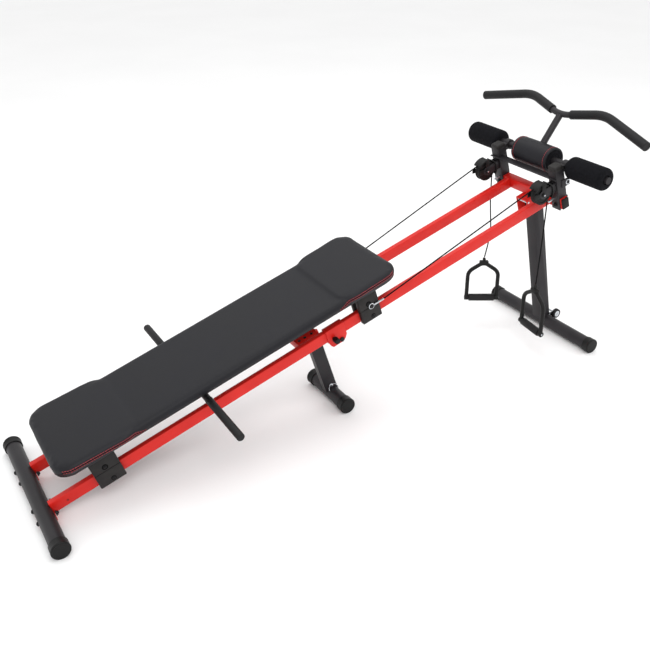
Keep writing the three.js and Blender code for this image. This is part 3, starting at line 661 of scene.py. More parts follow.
# ---- fasteners -----------------------------------------------------------------------
@dataclass(frozen=True)
class Fastener:
    """A bolt head or nut: a washer, a hexagon and a crown, standing on its face."""

    across: float = 8.0
    dome: bool = True

    def model(self) -> bpy.types.Object:
        """Make one, pointing up from the origin."""
        r = self.across
        washer = turned([(r * 1.15, 0), (r * 1.25, 0.3), (r * 1.25, 1.2), (r * 1.1, 1.6)], 32)
        nut = turned([(r * 0.98, 1.2), (r, 1.7), (r, r * 0.6), (r * 0.9, r * 0.72)], 6)
        top = r * 0.72
        crown = [(r * 0.72, top - 1), (r * 0.7, top + 1.6), (r * 0.5, top + 3.4), (r * 0.2, top + 4.2)]
        tip = [(r * 0.5, top - 1), (r * 0.5, top + 1.2), (r * 0.4, top + 1.8)]
        return joined([washer, nut, turned(crown if self.dome else tip, 24)])


def fasten(name: str, kind: Fastener, look: Finish, body: str, places: Sequence[Matrix]) -> None:
    """Place copies of one fastener and join them as one piece on a body."""
    finish(repeated(kind.model(), places), name, look, body)


# ---- the bench -----------------------------------------------------------------------
@dataclass
class FloorBars:
    """The three round floor bars with their ribbed caps."""

    bar_radius: float = 25.0
    cap_radius: float = 28.5
    cap_length: float = 30.0
    ribs: int = 24

    def cap(self) -> bpy.types.Object:
        """A ribbed cap whose end disc is at the origin, and which points outwards along Z."""
        r = self.cap_radius
        back = -self.cap_length
        foot = [(r - 1.6, back), (r - 0.6, back + 0.8), (r - 0.6, -7)]
        nose = [(r, -6), (r, -3), (r - 0.8, -1.2), (r - 2.4, -0.3)]
        dish = [(r - 3.6, 0), (r - 4.4, -0.6), (r - 5, -0.6)]
        cap = turned(foot + nose + dish, self.ribs * 3)
        band = [(back + 0.8) * MM, -7 * MM]
        for face in cap.data.polygons:
            angle = math.degrees(math.atan2(face.center.y, face.center.x)) % (360 / self.ribs)
            wide = band[0] < face.center.z < band[1] and abs(face.normal.z) < 0.1
            face.select = wide and angle > 120 / self.ribs
        only(cap)
        bpy.ops.object.mode_set(mode="EDIT")
        bpy.ops.mesh.select_mode(type="FACE")
        bpy.ops.mesh.inset(thickness=0.25 * MM, use_even_offset=False)
        bpy.ops.transform.shrink_fatten(value=0.6 * MM)
        bpy.ops.mesh.select_mode(type="VERT")
        bpy.ops.object.mode_set(mode="OBJECT")
        return cap

    def build(self) -> None:
        """Make the bars and their caps."""
        pattern = self.cap()
        for name, body in (("low_bar", "lower_frame"), ("mid_bar", "mid_leg"), ("front_bar", "front_leg")):
            low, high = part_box(name)
            middle = (low + high) / 2
            half = (high.y - low.y) / 2 / MM
            bar = turned([(self.bar_radius, -half), (self.bar_radius, half)], 64)
            spot = Matrix.Translation((middle.x, 0, middle.z))
            put(bar, spot @ Turn.LEFT.value)
            finish(bar, f"{name}_tube", CHARCOAL, body, [name])
            for side, sign in SIDES.items():
                node = f"{name}_cap_{side}"
                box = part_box(node)
                end = box[1].y if sign > 0 else box[0].y
                place = Matrix.Translation((middle.x, end, middle.z)) @ Turn.outward(sign).value
                finish(copy_of(pattern, place), f"{name}_ribbed_cap_{side}", SHADED_PLASTIC, body, [node])
        discard(pattern)


@dataclass
class LowerFrame:
    """The lower rails, their saddles and bolts, the cross tube and the fold brackets."""

    rail_y: float = 103.75
    rail_start: float = 22.0
    fold_u: float = 1045.7
    saddle_width: float = 84.0
    bar_axis_v: float = -4.93
    bar_axis_u: float = -1.5

    def rails(self) -> None:
        """Both rails, each with its stub and saddle welded on."""
        length = self.fold_u - self.rail_start
        for side, sign in SIDES.items():
            tube = put(slab((length, 20, 40), 3), on_rails(self.rail_start + length / 2, 0, 0))
            stub = put(slab((20, 15, 33), 1.5), on_rails(33, 0, 0))
            saddle = arc_plate(25.3, 4, self.saddle_width, -28, 112)
            plate = put(saddle, on_rails(self.bar_axis_u, 0, self.bar_axis_v))
            rail = put(joined([tube, stub, plate]), at(y=sign * self.rail_y))
            finish(rail, f"lower_rail_tube_{side}", RED, "lower_frame", [f"lower_rail_{side}"])
            hole = put(ring(2.6, 0.7), on_rails(73, sign * (self.rail_y + 10), -2.6, Turn.LEFT))
            finish(hole, f"rail_hole_edge_{side}", OXIDE, "lower_frame")

    def bolts(self) -> None:
        """Saddle bolts, lock bolts and the cross tube's screws."""
        nuts, heads, locks, screws = [], [], [], []
        for sign in SIDES.values():
            for offset in (-30, 30):
                y = sign * self.rail_y + offset
                nuts.append(on_rails(27.5, y, self.bar_axis_v, Turn.FORWARD))
                heads.append(on_rails(-26, y, self.bar_axis_v, Turn.BACK))
            locks.append(on_rails(1020, sign * (self.rail_y + 13.2), -14, Turn.outward(sign)))
            screws += [on_rails(u, sign * 78, 20.1) for u in (918, 940, 966)]
        fasten("saddle_nuts", Fastener(7.5), OXIDE, "lower_frame", nuts)
        fasten("saddle_bolt_heads", Fastener(6.5, False), OXIDE, "lower_frame", heads)
        fasten("cross_tube_screws", Fastener(4, False), OXIDE, "lower_frame", screws)
        knob = turned([(5, 0), (5, 5), (9, 6), (10, 8), (10, 25), (9, 27), (5, 28)], 32)
        finish(repeated(knob, locks), "fold_lock_knobs", SHADED_PLASTIC, "lower_frame")

    def build(self) -> None:
        """Make the lower half of the frame."""
        self.rails()
        self.bolts()
        cross = softened("mid_cross_tube", 2.0)
        finish(cross, "mid_cross_member", RED, "lower_frame", ["mid_cross_tube"])
        for side in SIDES:
            bracket = softened(f"hinge_bracket_{side}", 1.2)
            finish(bracket, f"fold_bracket_{side}", RED, "lower_frame", [f"hinge_bracket_{side}"])
            pin = softened(f"fold_bolt_{side}", 0.8, 3)
            finish(pin, f"fold_pin_{side}", OXIDE, "lower_frame", [f"fold_bolt_{side}"])
        dress("mid_leg_pivot_bolt", OXIDE)


@dataclass
class MiddleLeg:
    """The short middle leg and its hitch pin."""

    pin_u: float = 990.0
    pin_v: float = -271.0
    leg_face: float = 14.0

    def build(self) -> None:
        """Make the leg, the pin and its wire ring."""
        finish(softened("mid_leg", 2.5), "middle_leg_tube", CHARCOAL, "mid_leg", ["mid_leg"])
        shank = turned([(3.6, -26), (4, -25), (4, 20), (3, 21)], 24)
        head = turned([(6, 0), (8, 1), (8, 7), (6.5, 8)], 24)
        place = on_rails(self.pin_u, 0, self.pin_v, Turn.RIGHT)
        parts = [put(shank, place), put(head, on_rails(self.pin_u, -self.leg_face, self.pin_v, Turn.RIGHT))]
        lean = Matrix.Rotation(math.radians(62), 4, "X")
        loop_place = on_rails(self.pin_u + 4, -self.leg_face - 10, self.pin_v - 15) @ lean
        parts.append(put(ring(17, 1.3), loop_place))
        finish(joined(parts), "hitch_pin_and_ring", ZINC, "hitch_pin", ["hitch_pin"])


@dataclass
class HeadFrame:
    """The upper rails, the head cross tube, the posts and the front leg."""

    rail_y: float = 103.75
    rail_start: float = 1046.3
    rail_end: float = 1984.7
    post_y: float = 150.0
    post_front: float = 1980.0
    post_back: float = 2018.0

    def rails(self) -> None:
        """Both upper rails with the lugs that the fold bolts pass through."""
        length = self.rail_end - self.rail_start
        for side, sign in SIDES.items():
            tube = put(slab((length, 20, 40), 3), on_rails(self.rail_start + length / 2, 0, 0))
            lug = turned([(10, -9.6), (11, -9), (11, 9), (10, 9.6)], 32)
            eye = put(lug, on_rails(1046, 0, -35, Turn.LEFT))
            web = put(slab((20, 19, 20), 2), on_rails(1057.5, 0, -26))
            rail = put(joined([tube, eye, web]), at(y=sign * self.rail_y))
            finish(rail, f"upper_rail_tube_{side}", RED, "upper_frame", [f"upper_rail_{side}"])

    def posts(self) -> None:
        """The two posts, their caps, bolts and knobs."""
        rods, front_nuts, rear_nuts, silver = [], [], [], []
        for side, sign in SIDES.items():
            y = sign * self.post_y
            post = softened(f"post_{side}", 2.2)
            finish(post, f"head_post_{side}", CHARCOAL, "upper_frame", [f"post_{side}"])
            middle = (self.post_front + self.post_back) / 2
            cap = put(slab((39, 41, 22), 7, 5), on_rails(middle, y, 138))
            finish(cap, f"post_cap_{side}", PLASTIC, "upper_frame")
            plug = put(slab((31, 9, 41), 4), on_rails(2000, sign * 178.5, 0))
            finish(plug, f"cross_tube_plug_{side}", SHADED_PLASTIC, "upper_frame")
            plate = put(slab((36, 3, 30), 1.2), on_rails(self.post_back, y + sign * 21.7, 75))
            finish(plate, f"clamp_plate_{side}", CHARCOAL, "upper_frame")
            eye = put(ring(8.5, 2.2), on_rails(2027, y + sign * 24, 74, Turn.outward(sign)))
            finish(eye, f"clamp_eyelet_{side}", ZINC, "upper_frame")
            silver.append(on_rails(self.post_front, y - sign * 6, 17, Turn.BACK))
            rear_nuts.append(on_rails(self.post_back, y + sign * 13, 14, Turn.FORWARD))
            front_nuts.append(on_rails(self.post_front, y, -5, Turn.BACK))
            rods.append(on_rails(self.post_front - 3, y, 79, Turn.BACK))
        bolt = turned([(4, -1), (4, 26), (3.2, 28)], 24)
        finish(repeated(bolt, silver), "post_bolts", ZINC, "upper_frame")
        fasten("post_front_nuts", Fastener(7.5), OXIDE, "upper_frame", front_nuts)
        fasten("post_rear_nuts", Fastener(7), OXIDE, "upper_frame", rear_nuts)
        fasten("pulley_arm_nuts", Fastener(6), OXIDE, "upper_frame", rods)

    def front_leg(self) -> None:
        """The front leg, its lock pin, and the transport wheels on their bracket."""
        finish(softened("front_leg", 3), "front_leg_tube", CHARCOAL, "front_leg", ["front_leg"])
        bracket = softened("wheel_bracket", 0.8, 6)
        finish(bracket, "transport_bracket", ZINC, "front_leg", ["wheel_bracket"])
        pin = softened("front_leg_pivot_bolt", 0.8, 3)
        finish(pin, "front_leg_pin", ZINC, "upper_frame", ["front_leg_pivot_bolt"])
        lock = put(turned([(4, -31), (4, 31)], 24), on_rails(1957, 0, -30, Turn.LEFT))
        finish(lock, "front_leg_lock_pin", ZINC, "upper_frame")
        for side in SIDES:
            node = f"transport_wheel_{side}"
            spot = Matrix.Translation(node_middle(node)) @ Turn.LEFT.value
            tread = [(15, -7.5), (18, -7.2), (19.3, -6), (19.3, -2.4), (17.8, -1.6), (17.8, 1.6)]
            tyre = turned(tread + [(19.3, 2.4), (19.3, 6), (18, 7.2), (15, 7.5)], 56)
            finish(put(tyre, spot), f"transport_tyre_{side}", RUBBER, node, [node])
            hub = turned([(8, -8.6), (11, -8.2), (12.5, -7.4), (12.5, 7.4), (11, 8.2), (8, 8.6)], 40)
            finish(put(hub, spot), f"transport_hub_{side}", ZINC, node)

    def build(self) -> None:
        """Make the upper half of the frame."""
        self.rails()
        cross = softened("head_cross_tube", 2.0)
        finish(cross, "head_cross_member", RED, "upper_frame", ["head_cross_tube"])
        self.posts()
        self.front_leg()


@dataclass
class LegHold:
    """The roller tube, the foam rollers, the padded bolster and the shelf in front of it."""

    tube_radius: float = 12.5
    foam_radius: float = 40.0
    foam_length: float = 165.0
    bolster_radius: float = 47.5
    bolster_half: float = 89.0
    stitch_inset: float = 12.0

    def foam_profile(self) -> list[tuple[float, float]]:
        """A sleeve of foam with round shoulders and a dished end with a hole in it."""
        r = self.foam_radius
        shoulder = 14.0
        steps = [math.pi / 2 * i / 6 for i in range(7)]
        near = [(r - shoulder * (1 - math.sin(a)), shoulder * (1 - math.cos(a))) for a in steps]
        length = self.foam_length
        far = [(radius, length - height) for radius, height in reversed(near)]
        hole = [(17, length - 0.3), (15.5, length - 2), (13.2, length - 8), (12.9, length - 9)]
        return near + far + hole

    def bolster(self) -> None:
        """The vinyl covered bolster, its black ends and its two rings of red stitches."""
        r, half = self.bolster_radius - 1.2, self.bolster_half
        fold = [(r - 9, -half + 4), (r - 5, -half), (r - 2, -half + 0.4), (r - 0.4, -half + 2.4)]
        body = [(r, -half + 6), (r + 0.8, -half / 2), (r + 1, 0), (r + 0.8, half / 2), (r, half - 6)]
        back = [(radius, -height) for radius, height in reversed(fold)]
        cover = turned(fold + body + back, 72)
        incline = RAIL_FRAME.to_3x3().to_4x4()
        place = Matrix.Translation(node_middle("roller_tube")) @ incline @ Turn.LEFT.value
        cover = finish(put(cover, place), "bolster_cover", VINYL, "upper_frame", ["head_bolster"])
        for end, sign in SIDES.items():
            disc = turned([(r - 8, 0), (r - 8.5, 2), (26, 2.6), (24, 1.2), (15, 1.2)], 48)
            spot = place @ at(z=sign * (half - 4))
            flip = Matrix.Identity(4) if sign > 0 else Matrix.Rotation(math.pi, 4, "X")
            finish(put(disc, spot @ flip), f"bolster_end_{end}", FOAM, "upper_frame")
            count = 160
            line, normals = [], []
            for i in range(count + 1):
                angle = 2 * math.pi * i / count
                out = Vector((math.cos(angle), math.sin(angle), 0))
                line.append(out * (r + 0.2) * MM + Vector((0, 0, sign * (half - self.stitch_inset) * MM)))
                normals.append(out)
            row = put(stitches(line, normals), place)
            finish(row, f"bolster_stitches_{end}", THREAD, "upper_frame")

    def build(self) -> None:
        """Make the leg hold."""
        low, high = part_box("roller_tube")
        half = (high.y - low.y) / 2 / MM
        place = Matrix.Translation((low + high) / 2) @ Turn.LEFT.value
        tube = turned([(10, -half), (self.tube_radius, -half), (self.tube_radius, half), (10, half)], 48)
        finish(put(tube, place), "leg_roller_tube", CHARCOAL, "upper_frame", ["roller_tube"])
        for side, sign in SIDES.items():
            node = f"foam_roller_{side}"
            start = node_middle(node) - Vector((0, sign * self.foam_length / 2 * MM, 0))
            roller = turned(self.foam_profile(), 64)
            put(roller, Matrix.Translation(start) @ Turn.outward(sign).value)
            roller = finish(roller, f"foam_sleeve_{side}", FOAM, node, [node])
        self.bolster()
        finish(softened("head_shelf", 0.8), "head_plate", CHARCOAL, "upper_frame", ["head_shelf"])


@dataclass
class LatBar:
    """The bent lat bar on its stem, with a rubber sleeve over each arm."""

    bar_radius: float = 11.5
    sleeve_radius: float = 16.5
    stem_radius: float = 12.5
    centre: Triple = (2021.0, 0.0, 879.0)
    bend: Triple = (2052.2, 179.6, 915.1)
    tip: Triple = (2015.2, 400.7, 867.3)
    sleeve_start: float = 47.0
    bend_reach: float = 42.0  # how far from each corner the bar starts to bend

    def spot(self, point: Triple, sign: int) -> Vector:
        """A point of one arm, in metres."""
        return FLOOR_FRAME @ (Vector((point[0], sign * point[1], point[2])) * MM)

    def build(self) -> None:
        """Make the bar, the stem and the sleeves."""
        reach = self.bend_reach
        corners = [self.spot(self.tip, 1), self.spot(self.bend, 1), self.spot(self.centre, 1)]
        corners += [self.spot(self.bend, -1), self.spot(self.tip, -1)]
        bar = pipe(rounded_line(corners, reach), self.bar_radius, 24)
        centre = self.spot(self.centre, 1)
        foot = node_middle("roller_tube")
        foot = foot + (centre - foot).normalized() * 12.0 * MM
        stem = pipe([centre, foot], self.stem_radius, 32)
        finish(joined([bar, stem]), "lat_bar_and_stem", CHARCOAL, "upper_frame", ["lat_bar"])
        for side, sign in SIDES.items():
            tip = self.spot(self.tip, sign)
            bend = self.spot(self.bend, sign)
            share = self.sleeve_start / self.bend[1]
            start = centre.lerp(bend, share)
            end = tip + (tip - bend).normalized() * 3 * MM
            line = rounded_line([start, bend, end], reach, 12)
            sleeve = pipe(line, self.sleeve_radius, 32)
            rim = put(
                turned([(16.5, 0), (16.2, 0.6), (15, 1), (11, 1), (10.4, 0.3), (9, 0.3)], 32),
                Matrix.Translation(end) @ (end - bend).to_track_quat("Z", "Y").to_matrix().to_4x4(),
            )
            node = f"lat_grip_{side}"
            finish(joined([sleeve, rim]), f"lat_sleeve_{side}", RUBBER, "upper_frame", [node])


# Routes of the hanging cables from their pulleys, relative to the pulley's centre (x, y, z).
# Both lie over the pulley first; the left one then bows out above its hand grip.
OVER_PULLEY = [(-13.7, 0, 33.8), (0, 0, 36.4), (18.2, 0, 31.6), (31.6, 0, 18.2), (36.5, 0, 0)]
DROP_ROUTES = {
    "left": OVER_PULLEY
    + [(37.6, -0.4, -50), (40.2, -1.1, -125), (47.5, -1.8, -195), (52.3, -2.2, -238)]
    + [(51, -2.7, -275), (45.6, -3.2, -311), (38, -3.7, -343), (32, -4, -366.9)],
    "right": OVER_PULLEY
    + [(36.9, -0.4, -40), (37.4, -1.2, -100), (37.1, -2.2, -180)]
    + [(35.6, -3.1, -260), (33.6, -3.7, -330), (32, -4, -366.9)],
}


@dataclass
class Cables:
    """The pulleys on their arms, and each cable's taut run and hanging drop."""

    pulley_u: float = 1919.0
    pulley_v: float = 72.4
    post_y: float = 150.0
    cable_radius: float = 2.5
    travel: float = 500.0
    run_start: Triple = (1223.3, 138.5, 35.0)
    run_end: Triple = (1914.8, 150.0, 108.6)

    def spline(self, knots: Sequence[Vector], steps: int) -> list[Vector]:
        """A smooth line through knots, `steps` points to each stretch."""
        ends = [knots[0] * 2 - knots[1], *knots, knots[-1] * 2 - knots[-2]]
        line = []
        for a, b, c, d in zip(ends, ends[1:], ends[2:], ends[3:]):
            for i in range(steps):
                t = i / steps
                cubic = (b * 3 - a - c * 3 + d) * t**3 + (a * 2 - b * 5 + c * 4 - d) * t**2
                line.append((cubic + (c - a) * t + b * 2) / 2)
        return line + [knots[-1]]

    def cables(self, side: str, sign: int) -> None:
        """One side's taut run and its drop."""
        ends = [RAIL_FRAME @ (Vector((u, sign * y, v)) * MM) for u, y, v in (self.run_start, self.run_end)]
        count = 24
        line = [ends[0].lerp(ends[1], i / count) for i in range(count + 1)]
        node = f"cable_run_{side}"
        run = finish(pipe(line, self.cable_radius, 12), f"taut_cable_{side}", CORD, "upper_frame", [node])
        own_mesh(run)
        middle = node_middle(f"pulley_{side}")
        knots = [middle + Vector((dx, sign * dy, dz)) * MM for dx, dy, dz in DROP_ROUTES[side]]
        fall = self.spline(knots, 3)
        node = f"cable_drop_{side}"
        drop = finish(pipe(fall, self.cable_radius, 12), f"hanging_cable_{side}", CORD, "upper_frame", [node])

    def pulley(self, side: str) -> None:
        """A grooved pulley with lightening steps on its faces."""
        rim = [(13, -9), (30, -9), (31, -11), (37.4, -11), (38, -10.4), (38, -8.4)]
        groove = [(35.2, -5), (33.7, -3), (33.5, 0), (33.7, 3), (35.2, 5)]
        far = [(radius, -height) for radius, height in reversed(rim)]
        wheel = turned(rim + groove + far, 72)
        node = f"pulley_{side}"
        spot = Matrix.Translation(node_middle(node)) @ Turn.LEFT.value
        finish(put(wheel, spot), f"grooved_pulley_{side}", SHADED_PLASTIC, node, [node])

    def guard(self, side: str) -> None:
        """The cover over a pulley's front and top, split where the cable comes in."""
        inner, wall, cover = 41, 4.5, 38
        web, reach = 17.2, 32
        parts = [arc_plate(inner, wall, cover, *arc) for arc in ((57, 80), (152, 62))]
        for angle in (97, 183):
            spoke = Matrix.Rotation(math.radians(-angle), 4, "Y")
            for y in (-web, web):
                parts.append(put(slab((27, 2.5, 18), 1), spoke @ at(reach, y)))
        place = Matrix.Translation(node_middle(f"pulley_{side}"))
        finish(put(joined(parts), place), f"pulley_guard_{side}", SHADED_PLASTIC, "upper_frame")

    def build(self) -> None:
        """Make both sides' pulleys, arms and cables."""
        heads, shines = [], []
        for side, sign in SIDES.items():
            self.cables(side, sign)
            self.pulley(side)
            self.guard(side)
            arm = softened(f"pulley_bracket_{side}", 1.0, 8)
            finish(arm, f"pulley_arm_{side}", CHARCOAL, "upper_frame", [f"pulley_bracket_{side}"])
            for way in (1, -1):
                y = sign * self.post_y + way * 14.6
                heads.append(on_rails(self.pulley_u, y, self.pulley_v, Turn.outward(way)))
                y = sign * self.post_y + way * 20.5
                shines.append(on_rails(self.pulley_u, y, self.pulley_v, Turn.outward(way)))
        fasten("pulley_axle_nuts", Fastener(7, False), OXIDE, "upper_frame", heads)
        stud = turned([(3.2, -2), (3.2, 1.2), (2.4, 1.8)], 24)
        finish(repeated(stud, shines), "pulley_axle_studs", ZINC, "upper_frame")


@dataclass
class HandGrips:
    """The two stirrup handles on the cables."""

    half_width: float = 61.0
    shoulder: float = 116.0
    apex: float = 156.0
    top: float = 172.0
    bow_radius: float = 8.0
    grip_radius: float = 14.5
    grip_gap: float = 9.1  # from the bow's line to the grip's end
    rivet_reach: float = 69.2

    def bow(self) -> bpy.types.Object:
        """The bent bow with its eyes, boss and cable loop, the grip's axis along X."""
        w = self.half_width
        outline = [(-w, 0), (-w, self.shoulder), (0, self.apex + 2), (w, self.shoulder), (w, 0)]
        corners = [Vector((x, 0, z)) * MM for x, z in outline]
        parts = [pipe(rounded_line(corners, 22, 10), self.bow_radius, 20)]
        for x in (-w, w):
            turn = Turn.FORWARD.value
            eye = turned([(8.6, -8.4), (10.6, -7.2), (10.6, 7.2), (8.6, 8.4)], 32)
            parts.append(put(eye, at(x) @ turn))
        parts.append(put(slab((36, 20, 19), 4.5), at(z=self.top - 17)))
        parts.append(put(turned([(7, 0), (5.5, 8), (5, 9)], 24), at(z=self.top - 10)))
        loop = turned([(5, -4.2), (6, -3.4), (6, 3.4), (5, 4.2)], 28)
        parts.append(put(loop, at(z=self.top) @ Turn.LEFT.value))
        return joined(parts)

    def grip(self) -> bpy.types.Object:
        """The ribbed tube that turns on the bow's axle."""
        half, r = self.half_width - self.grip_gap, self.grip_radius
        profile = [(r - 2.6, -half), (r - 0.8, -half + 0.7), (r, -half + 2.4)]
        profile += [(r, half - 2.4), (r - 0.8, half - 0.7), (r - 2.6, half)]
        return put(turned(profile, 48), Turn.FORWARD.value)

    def build(self) -> None:
        """Make both handles, each turned on its cable as it hangs."""
        for side in SIDES:
            axis = joint(f"handle_grip_{side}_turn")["axis"]
            centre = Vector(joint(f"handle_grip_{side}_turn")["pos_m"])
            yaw = math.atan2(axis[1], axis[0])
            place = Matrix.Translation(centre) @ Matrix.Rotation(yaw, 4, "Z")
            bow = put(self.bow(), place)
            finish(bow, f"stirrup_{side}", SHADED_PLASTIC, f"handle_{side}", [f"handle_frame_{side}"])
            grip = put(self.grip(), place)
            body = f"handle_grip_{side}"
            finish(grip, f"stirrup_grip_{side}", RUBBER, body, [body])
            stud = turned([(3.4, 0), (3.4, 1.2), (2.4, 1.8)], 20)
            right = place @ at(self.rivet_reach) @ Turn.FORWARD.value
            left = place @ at(-self.rivet_reach) @ Turn.BACK.value
            finish(repeated(stud, [right, left]), f"stirrup_rivets_{side}", ZINC, f"handle_{side}")


def cushion(span: Sequence[float], half: float, corner: float, edge: float, depth: float):
    """A foam block with round corners and edges.

    Args:
        span: where it starts and ends along X, in millimetres.
        half: half its width.
        corner: the radius of its corners from above.
        edge: the radius of its edges.
        depth: its thickness, up from zero.
    Returns:
        The block.
    """
    line = []
    for quarter in range(4):
        x = span[1] - corner if quarter in (0, 3) else span[0] + corner
        y = half - corner if quarter < 2 else corner - half
        for i in range(10):
            angle = math.pi / 2 * (quarter + i / 9)
            line.append(Vector((x + corner * math.cos(angle), y + corner * math.sin(angle), 0)) * MM)
    data = bpy.data.meshes.new("cushion")
    data.from_pydata(line, [], [list(range(len(line)))])
    piece = linked("cushion", data)
    with editing(piece):
        bpy.ops.mesh.extrude_region_move(TRANSFORM_OT_translate={"value": (0, 0, depth * MM)})
    face_out(piece)
    modifier(piece, "BEVEL", width=edge * MM, segments=5, angle_limit=math.radians(60))
    return piece


@dataclass(frozen=True)
class Swell:
    """A thicker end of the pad, whose top dips towards the middle, with its stitched seam."""

    span: tuple[float, float]
    half: float
    tops: tuple[float, float]
    seam: tuple[float, float]
    corner: float = 60.0
    edge: float = 12.0
    depth: float = 32.0
    seam_drop: float = 15.0  # how far the seam runs below the top
    seam_foot: float = 4.0  # how far above the base it ends
    seam_fall: float = 62.0  # how far from the waist it turns down

    def seam_height(self, u: float, base: float) -> float:
        """How high the side seam runs at u: below the top, then down to the base at the waist."""
        share = (u - self.span[0]) / (self.span[1] - self.span[0])
        crest = self.tops[0] + (self.tops[1] - self.tops[0]) * share - self.seam_drop
        waist = self.seam[1] if self.tops[0] > self.tops[1] else self.seam[0]
        fall = min(1.0, abs(u - waist) / self.seam_fall)
        foot = base + self.seam_foot
        return foot + (crest - foot) * math.sin(fall * math.pi / 2)


SWELLS = (
    Swell((78, 352), 183, (147, 131), (104, 358)),
    Swell((1062, 1299), 179, (135, 142), (1054, 1272)),
)


